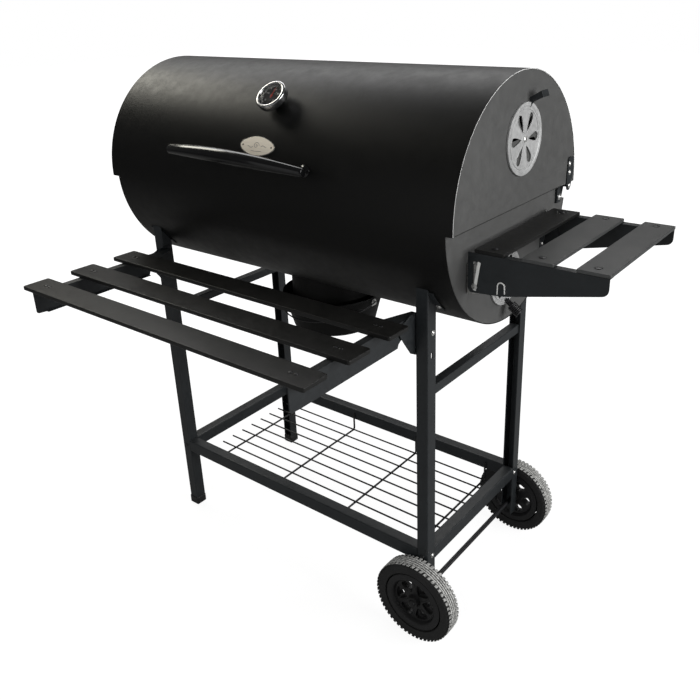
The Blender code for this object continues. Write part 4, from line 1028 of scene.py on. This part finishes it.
# one window of the hub's face, as (radius, degrees), and of the web behind it, as (X, Y)
FACE_WINDOW = [(0.0175, -2), (0.0235, 14), (0.0300, 20), (0.0380, 22), (0.0430, 18),
               (0.0442, 4), (0.0442, -11), (0.0425, -22), (0.0375, -26), (0.0300, -24),
               (0.0235, -17)]
WEB_WINDOW = [(0.0205, 0.0), (0.0250, 0.0066), (0.0320, 0.0118), (0.0395, 0.0130),
              (0.0425, 0.0075), (0.0428, -0.0025), (0.0385, -0.0085), (0.0280, -0.0068)]
# the ridge along a spoke, as (radius, radians of lead)
SPOKE_RIDGE = [(0.0165, -0.25), (0.0260, -0.12), (0.0360, 0.02), (0.0462, 0.10)]
# closed profiles as (radius, height)
HUB_RIM = [(0.0634, 0.0156), (0.0620, 0.0162), (0.0535, 0.0168), (0.0518, 0.0164),
           (0.0498, 0.0148), (0.0482, 0.0115), (0.0466, 0.0075), (0.0460, 0.0060),
           (0.0460, -0.0080), (0.0480, -0.0128), (0.0518, -0.0166), (0.0600, -0.0164),
           (0.0634, -0.0156), (0.0634, 0.0)]
HUB_NOSE = [(0.0064, 0.0174), (0.0105, 0.0174), (0.0116, 0.0166), (0.0120, 0.0110),
            (0.0140, 0.0085), (0.0145, 0.0042), (0.0130, 0.0), (0.0120, -0.0174),
            (0.0064, -0.0174)]


def six_windows(shape):
    return [round_corners(rotated(shape, 2 * math.pi * i / 6), 0.003) for i in range(6)]


def hub(name):
    """Face with six curved spokes, web behind it, rim, nose, square collar and ridges."""
    window = [(r * math.cos(math.radians(a)), r * math.sin(math.radians(a)))
              for r, a in FACE_WINDOW]
    face = outline("face", circle(0, 0, 0.0470, 120), 0.0055, six_windows(window),
                   bevel=0.0009, segments=3)
    web = outline("web", circle(0, 0, 0.0465, 96), 0.0128, six_windows(WEB_WINDOW),
                  bevel=0.0005)
    square = outline("square", round_corners(rectangle(0.0082, 0.0082), 0.0020), 0.0012,
                     (circle(0, 0, 0.0066, 32),), bevel=0.0004)
    parts = [moved(face, (0, 0, 0.0055)), moved(web, (0, 0, -0.0036)),
             turned("rim", HUB_RIM, 96, True), turned("nose", HUB_NOSE, 72, True),
             moved(square, (0, 0, 0.01740), (0, 0, math.radians(45)))]
    for i in range(6):
        a = 2 * math.pi * (i + 0.48) / 6
        parts.append(rod("ridge", [(r * math.cos(a + lead), r * math.sin(a + lead), 0.0080)
                                   for r, lead in SPOKE_RIDGE], 0.0010, 3))
    return joined("hub_skin_" + name, parts)


for end, sign in FRONT_REAR:
    at, turn = (AXLE_X, sign * WHEEL_Y, WHEEL_R), (-sign * math.radians(90), 0, 0)
    put(moved(tyre(end), at, turn), "wheel_" + end, RUBBER, ("tyre_" + end,),
        angle=35)
    put(moved(hub(end), at, turn), "wheel_" + end, PLASTIC, ("hub_" + end,),
        angle=35)

# ------------------------------------------------------------------ ash bucket
collar = turned("ash_neck", [
    (0.0895, 0.6900), (0.0900, 0.6895), (0.0900, 0.6050), (0.0896, 0.6042),
    (0.0889, 0.6042), (0.0885, 0.6050), (0.0885, 0.6900)], 120, True)
collar = cut(moved(collar, (BUCKET_X, 0, 0)), drum_cylinder())
put(collar, "frame", PAIL, ("ash_collar",), angle=30)

top, base = BUCKET_TOP, BUCKET_BASE
pail = turned("bucket_skin", [
    (0, base + 0.0018), (0.0860, base + 0.0018), (0.0885, base + 0.0026),
    (0.0900, base + 0.0050), (0.1094, top - 0.0050), (0.1099, top - 0.0015),
    (0.1106, top - 0.0002), (0.1120, top - 0.0002), (0.1125, top - 0.0018),
    (0.1121, top - 0.0034), (0.1112, top - 0.0040), (0.1102, top - 0.0080),
    (0.1072, top - 0.0186), (0.1077, top - 0.0200), (0.1069, top - 0.0214),
    (0.1060, top - 0.0226), (0.0918, base + 0.0050), (0.0905, base + 0.0020),
    (0.0888, base + 0.0003), (0.0850, base + 0.0006), (0, base + 0.0006)], 120)
put(moved(pail, (BUCKET_X, 0, 0)), "bucket", PAIL, ("ash_bucket",), angle=35)

BAIL_R, BAIL_TILT = 0.118, math.radians(15)
bail_z = BUCKET_TOP - 0.008
BAIL_EAR = round_corners([(-0.009, -0.008), (0.009, -0.008), (0.006, 0.006), (-0.006, 0.006)],
                         0.003)
for side, sign in LEFT_RIGHT:
    ear = plate_x("ear", BAIL_EAR, 0.0012, BUCKET_X + sign * 0.1133, BUCKET_TOP - 0.010,
                  bevel=0.0003)
    stud = turned("stud", [(0, 0.0064), (0.0022, 0.0064), (0.0027, 0.0058), (0.0027, 0.0),
                           (0, 0)], 24)
    stud = moved(stud, (BUCKET_X + sign * 0.1095, 0, bail_z), (0, sign * math.pi / 2, 0))
    put(joined("bail_ear_skin_" + side, [ear, stud]), "bucket", ZINC)
bail = []                                       # hangs forwards, a little below level
for i in range(73):
    a = math.pi * i / 72
    bail.append((BUCKET_X - BAIL_R * math.cos(a), -BAIL_R * math.sin(a) * math.cos(BAIL_TILT),
                 bail_z - BAIL_R * math.sin(a) * math.sin(BAIL_TILT)))
put(rod("bail_wire", bail, 0.0015), "bail", WIRE, ("bucket_bail",), angle=60,
    weighted=False)

# ------------------------------------------------------------------ grates
# the three cast grates keep their CAD shape
for name in ("charcoal_grate", "cooking_grate_left", "cooking_grate_right"):
    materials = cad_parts[name].data.materials
    materials.clear()
    materials.append(CAST)
rack = [rod("long", [(LID_X[0] + 0.0024, y, 0.9858), (LID_X[1] - 0.0024, y, 0.9858)], 0.0024, 3)
        for y in (0.018, 0.046, 0.074, 0.102, 0.130)]
rack += [rod("cross", [(x, 0.010, 0.9823), (x, 0.138, 0.9823)], 0.0024, 3)
         for x in (-0.30, 0, 0.30)]
put(joined("rack_wires", rack), "lid", WIRE, ("warming_rack",), angle=60,
    weighted=False)


# ------------------------------------------------------------------ front shelf
def slat(name, length, width, thickness, corner, lip):
    """A slat with rounded corners and softened edges."""
    points = round_corners(rectangle(length / 2, width / 2), corner, 6)
    return outline(name, points, thickness, bevel=lip, segments=3)


BOLT_X = 0.3270
bolts = []
for i, name in enumerate(("outer", "middle", "inner")):
    y = FRONT_FIRST_Y + i * FRONT_PITCH + FRONT_W / 2
    made = slat("front_slat_skin_" + name, FRONT_LEN, FRONT_W, FRONT_T, 0.0050, 0.0014)
    put(moved(made, (0, y, FRONT_TOP - FRONT_T / 2)), "front_shelf", SLAT,
        ("front_slat_" + name,))
    bolts += [((sign * BOLT_X + dx, y, FRONT_TOP - 0.0001), (0, 0, 1))
              for sign in (-1, 1) for dx in (-0.0055, 0.0055)]
heads("front_slat_bolts", bolts, 0.0038, 0.0017, "front_shelf", WIRE,
      washer=False)

under = FRONT_TOP - FRONT_T - 0.0003
SHELF_PIVOT = (-0.222, 0.680)                   # (Y, Z)
ARM_X, HINGE_X = 0.3392, 0.3425
# the arm under the slats and the plate on the frame, as (Y, Z)
ARM = ([(-0.5110, under), (-0.5110, 0.6575), (-0.5080, 0.6545), (-0.4900, 0.6530),
        (-0.2400, 0.6530), (-0.2370, 0.6600)] + arc(*SHELF_PIVOT, 0.0165, -25, 150, 16)
       + [(-0.1900, 0.6890), (-0.1800, 0.6920), (-0.1800, under)])
HINGE_PLATE = ([(-0.1690, 0.7030), (-0.2050, 0.7030)] + arc(*SHELF_PIVOT, 0.0155, -160, -40, 14)
               + [(-0.2240, 0.6560), (-0.2160, 0.6450), (-0.2050, 0.6300), (-0.1900, 0.6220),
                  (-0.1690, 0.6200)])
# the arm's top flange, as (X, Y)
ARM_FLANGE = [(ARM_X, -0.5105), (ARM_X - 0.0150, -0.5105), (ARM_X - 0.0150, -0.2900),
              (ARM_X - 0.0350, -0.2560), (ARM_X - 0.0350, -0.2420), (ARM_X - 0.0120, -0.1785),
              (ARM_X, -0.1785)]
HINGE_BOLTS = ((-0.2120, 0.6520), (-0.1800, 0.6900), (-0.1800, 0.6350))      # (Y, Z)
for side, sign in LEFT_RIGHT:
    web = plate_x("web", ARM, 0.0018, sign * ARM_X, holes=(circle(*SHELF_PIVOT, 0.0035),),
                  bevel=0.0004)
    flange = moved(outline("flange", [(sign * x, y) for x, y in ARM_FLANGE], 0.0015,
                           bevel=0.0004), (0, 0, under - 0.00075))
    lip = moved(box("lip", (0.0080, 0.2490, 0.0015), 0.0005), (sign * 0.3357, -0.3665, 0.65375))
    put(joined("front_bracket_skin_" + side, [web, flange, lip]), "front_shelf", FRAME,
        ("front_bracket_" + side,))
    plate = plate_x("plate", HINGE_PLATE, 0.0022, sign * HINGE_X, bevel=0.0005)
    pin = moved(cylinder(0.003, 0.0035, 28), (sign * 0.3390, *SHELF_PIVOT), ALONG_X)
    put(joined("front_hinge_skin_" + side, [plate, pin]), "frame", FRAME,
        ("front_shelf_hinge_" + side,))
    inward = (-sign, 0, 0)
    heads("front_pin_head_" + side, [((sign * 0.3376, *SHELF_PIVOT), inward)], 0.0052, 0.0024,
          "frame", ZINC, washer=False)
    heads("front_hinge_bolts_" + side,
          [((sign * 0.3414, y, z), inward) for y, z in HINGE_BOLTS],
          0.0034, 0.0018, "frame", WIRE, washer=False)

# ------------------------------------------------------------------ side shelf
side_len, side_mid = SIDE_Y[1] - SIDE_Y[0], (SIDE_Y[0] + SIDE_Y[1]) / 2
bolts = []
for x, name in zip(SIDE_SLATS_X, ("inner", "middle", "outer")):
    made = slat("side_slat_skin_" + name, SIDE_W, side_len, SIDE_T, 0.0030, 0.0011)
    # the lighter grey of the middle and outer slats is painted light; the inner one keeps the
    # plain slat paint
    put(moved(made, (x + SIDE_W / 2, side_mid, SIDE_TOP - SIDE_T / 2)), "side_shelf",
        SLAT if name == "inner" else LIT_SIDE_SLAT, ("side_slat_" + name,))
    bolts += [((x + SIDE_W / 2, y, SIDE_TOP - 0.0001), (0, 0, 1))
              for y in (SIDE_Y[0] + 0.020, SIDE_Y[1] - 0.020)]
heads("side_slat_bolts", bolts, 0.0060, 0.0018, "side_shelf", WIRE,
      washer=False)

# bracket web, its slot and the hinge ear, as (X, Z)
under = SIDE_TOP - SIDE_T - 0.0003
WEB_X = 0.4262
SIDE_WEB = round_corners([(WEB_X, under), (WEB_X, 0.7500), (0.4900, 0.7540),
                          (0.6675, 0.7925), (0.6675, under)],
                         [0.0005, 0.0090, 0.02, 0.0110, 0.0005], 8)
# the web's lower inner corner is cut back at a slant
SIDE_WEB = [(max(x, WEB_X + max(0.0, (0.7590 - z)) * 0.55), z) for x, z in SIDE_WEB]
SIDE_SLOT = round_corners([(0.4364, 0.7580), (0.4436, 0.7580), (0.4436, 0.8060),
                           (0.4364, 0.8060)], 0.0033, 6)
SIDE_EAR = round_corners([(0.4241, 0.7450), (0.4480, 0.7500), (0.4520, 0.7560),
                          (0.4520, 0.7900), (0.4440, 0.8000), (0.4241, 0.8000)], 0.0015, 3)
for (end, sign), edge in zip(FRONT_REAR, SIDE_Y):
    y = edge - sign * 0.0010
    web = plate_y("web", SIDE_WEB, 0.0015, y, holes=(SIDE_SLOT,), bevel=0.0004)
    flange = moved(box("flange", (0.2315, 0.0150, 0.0015), 0.0005),
                   (0.5517, y - sign * 0.0070, under - 0.00075))
    put(joined("side_bracket_skin_" + end, [web, flange]), "side_shelf", FRAME,
        ("side_bracket_" + end,))
    ear_y = y - sign * 0.0022
    ear = plate_y("ear", SIDE_EAR, 0.0018, ear_y, bevel=0.0004)
    pad = moved(box("pad", (0.0015, 0.0200, 0.0540), 0.0005),
                (0.42485, y - sign * 0.0120, 0.7725))
    put(joined("side_hinge_skin_" + end, [ear, pad]), "frame", ZINC if sign < 0 else FRAME,
        ("side_shelf_hinge_" + end,))
    pin = turned("pin", [(0, 0.0052), (0.0046, 0.0050), (0.0054, 0.0044), (0.0055, 0.0034),
                         (0.0029, 0.0033), (0.0029, 0.0), (0, 0.0)], 32)
    # both hinge pins are named "pin", so the second gets a numbered name
    put(moved(pin, (0.4400, ear_y, 0.7620), (-sign * math.pi / 2, 0, 0)), "frame", ZINC)
    heads("side_hinge_bolts_" + end,
          [((0.4256, y - sign * 0.0150, z), (1, 0, 0)) for z in (0.7880, 0.7580)],
          0.0032, 0.0022, "frame", ZINC, washer=False)

# a slim bar and a wire clip on the front bracket
bar = moved(box("bar", (0.0056, 0.0010, 0.0516), 0.0004),
            (0.4442, SIDE_Y[0] - 0.0006, 0.78075), (0, math.atan2(0.0080, 0.0509), 0))
put(joined("side_lock_bar", [bar]), "side_shelf", LIGHT_ZINC)
CLIP_X, CLIP_Z, CLIP_R = 0.4898, 0.7725, 0.0062          # the clip's upper bend
bend = [(CLIP_X - CLIP_R * math.cos(math.pi * i / 10),
         CLIP_Z + CLIP_R * math.sin(math.pi * i / 10)) for i in range(11)]
clip = ([(0.4832, 0.7575), (0.4836, 0.7700)] + bend + [(0.4963, 0.7700), (0.4967, 0.7604)])
clip = rod("clip", [(x, SIDE_Y[0] - 0.0009, z) for x, z in clip], 0.0012)
put(joined("side_wire_clip", [clip]), "side_shelf", LIGHT_ZINC, angle=60,
    weighted=False)


# ------------------------------------------------------------------ camera
def camera():
    data = bpy.data.cameras.new("camera")
    obj = bpy.data.objects.new("camera", data)
    SCENE.objects.link(obj)
    yaw, pitch, roll = 0.666134, -0.391497, -0.031333
    forward = Vector((-math.sin(yaw) * math.cos(pitch), math.cos(yaw) * math.cos(pitch),
                      math.sin(pitch)))
    level = Vector((math.cos(yaw), math.sin(yaw), 0))
    up = level.cross(forward)
    axis_x = level * math.cos(roll) + up * math.sin(roll)
    axis_y = up * math.cos(roll) - level * math.sin(roll)
    rot = Matrix((axis_x, axis_y, -forward)).transposed().to_4x4()
    place = Vector((1.03658, -1.20248, 1.22364))
    obj.matrix_world = Matrix.Translation(OFFSET + place) @ rot
    data.sensor_width = 36.0
    data.lens = 39.263
    data.shift_x, data.shift_y = -0.02717, -0.06235
    data.clip_start = 0.05
    bpy.context.scene.camera = obj


camera()

# ------------------------------------------------------------------ floor and lights
floor_look, floor_tree, floor_shader = new_material("floor_look")
fill(floor_tree, floor_shader, {"Base Color": (0.93, 0.93, 0.93, 1), "Roughness": 0.9,
                                "Specular IOR Level": 0.1})
bm = bmesh.new()
bmesh.ops.create_grid(bm, x_segments=1, y_segments=1, size=14)
floor = from_bmesh("floor", bm)
floor.location = (0, 0, -0.0005)
floor.data.materials.append(floor_look)
SCENE.objects.link(floor)


def area(name, at, target, size, power, color=(1, 1, 1), size_y=None):
    light = bpy.data.lights.new(name, "AREA")
    light.energy, light.color = power, color
    light.shape = "RECTANGLE"
    light.size, light.size_y = size, size_y or size
    obj = bpy.data.objects.new(name, light)
    SCENE.objects.link(obj)
    at, target = Vector(at) + OFFSET, Vector(target) + OFFSET
    obj.matrix_world = (Matrix.Translation(at)
                        @ (target - at).to_track_quat("-Z", "Y").to_matrix().to_4x4())
    return obj


area("top_light", at=(-1.1, 1.6, 2.8), target=(-0.1, 0.0, 0.9), size=3.4, size_y=1.2, power=31)
area("right_light", at=(3.2, 0.4, 1.5), target=(0.3, 0, 0.7), size=1.8, power=92)
area("left_light", at=(-1.7, 0.0, 2.1), target=(-0.35, -0.1, 1.0), size=0.7, power=9,
     color=(1.0, 0.97, 0.86))
area("front_fill", at=(-0.4, -3.2, 1.0), target=(0, 0, 0.5), size=2.4, power=5)
soft = area("soft_fill", at=(0.6, -3.0, 1.8), target=(0, 0, 0.6), size=2.4, power=42)
soft.visible_glossy = False

# a studio that is white to the camera and dim to the object
world = bpy.context.scene.world or bpy.data.worlds.new("world")
bpy.context.scene.world = world
world.use_nodes = True
tree = world.node_tree
background = tree.nodes.get("Background") or tree.nodes.new("ShaderNodeBackground")
camera_ray = node(tree, "LightPath").outputs["Is Camera Ray"]
fill(tree, background, {"Color": (1, 1, 1, 1),
                        "Strength": map_range(tree, camera_ray, target=(0.06, 1.0))})

# the object sees a greyer floor, and the camera sees it melt into white far off
tree = floor_tree
white = node(tree, "Emission", {"Color": (1, 1, 1, 1), "Strength": 1.15})
camera_ray = node(tree, "LightPath").outputs["Is Camera Ray"]
fill(tree, floor_shader, {"Base Color": map_range(tree, camera_ray, target=(0.30, 0.93))})
distance = vector_length(tree, object_coords(tree))
fade = map_range(tree, distance, (0.5, 1.5), (0.78, 1.0), interpolation_type="SMOOTHSTEP")
mixer = node(tree, "MixShader", {0: multiply(tree, camera_ray, fade),
                                 1: floor_shader.outputs[0], 2: white.outputs[0]})
fill(tree, tree.nodes["Material Output"], {"Surface": mixer.outputs[0]})
bpy.context.scene.view_settings.view_transform = "Standard"
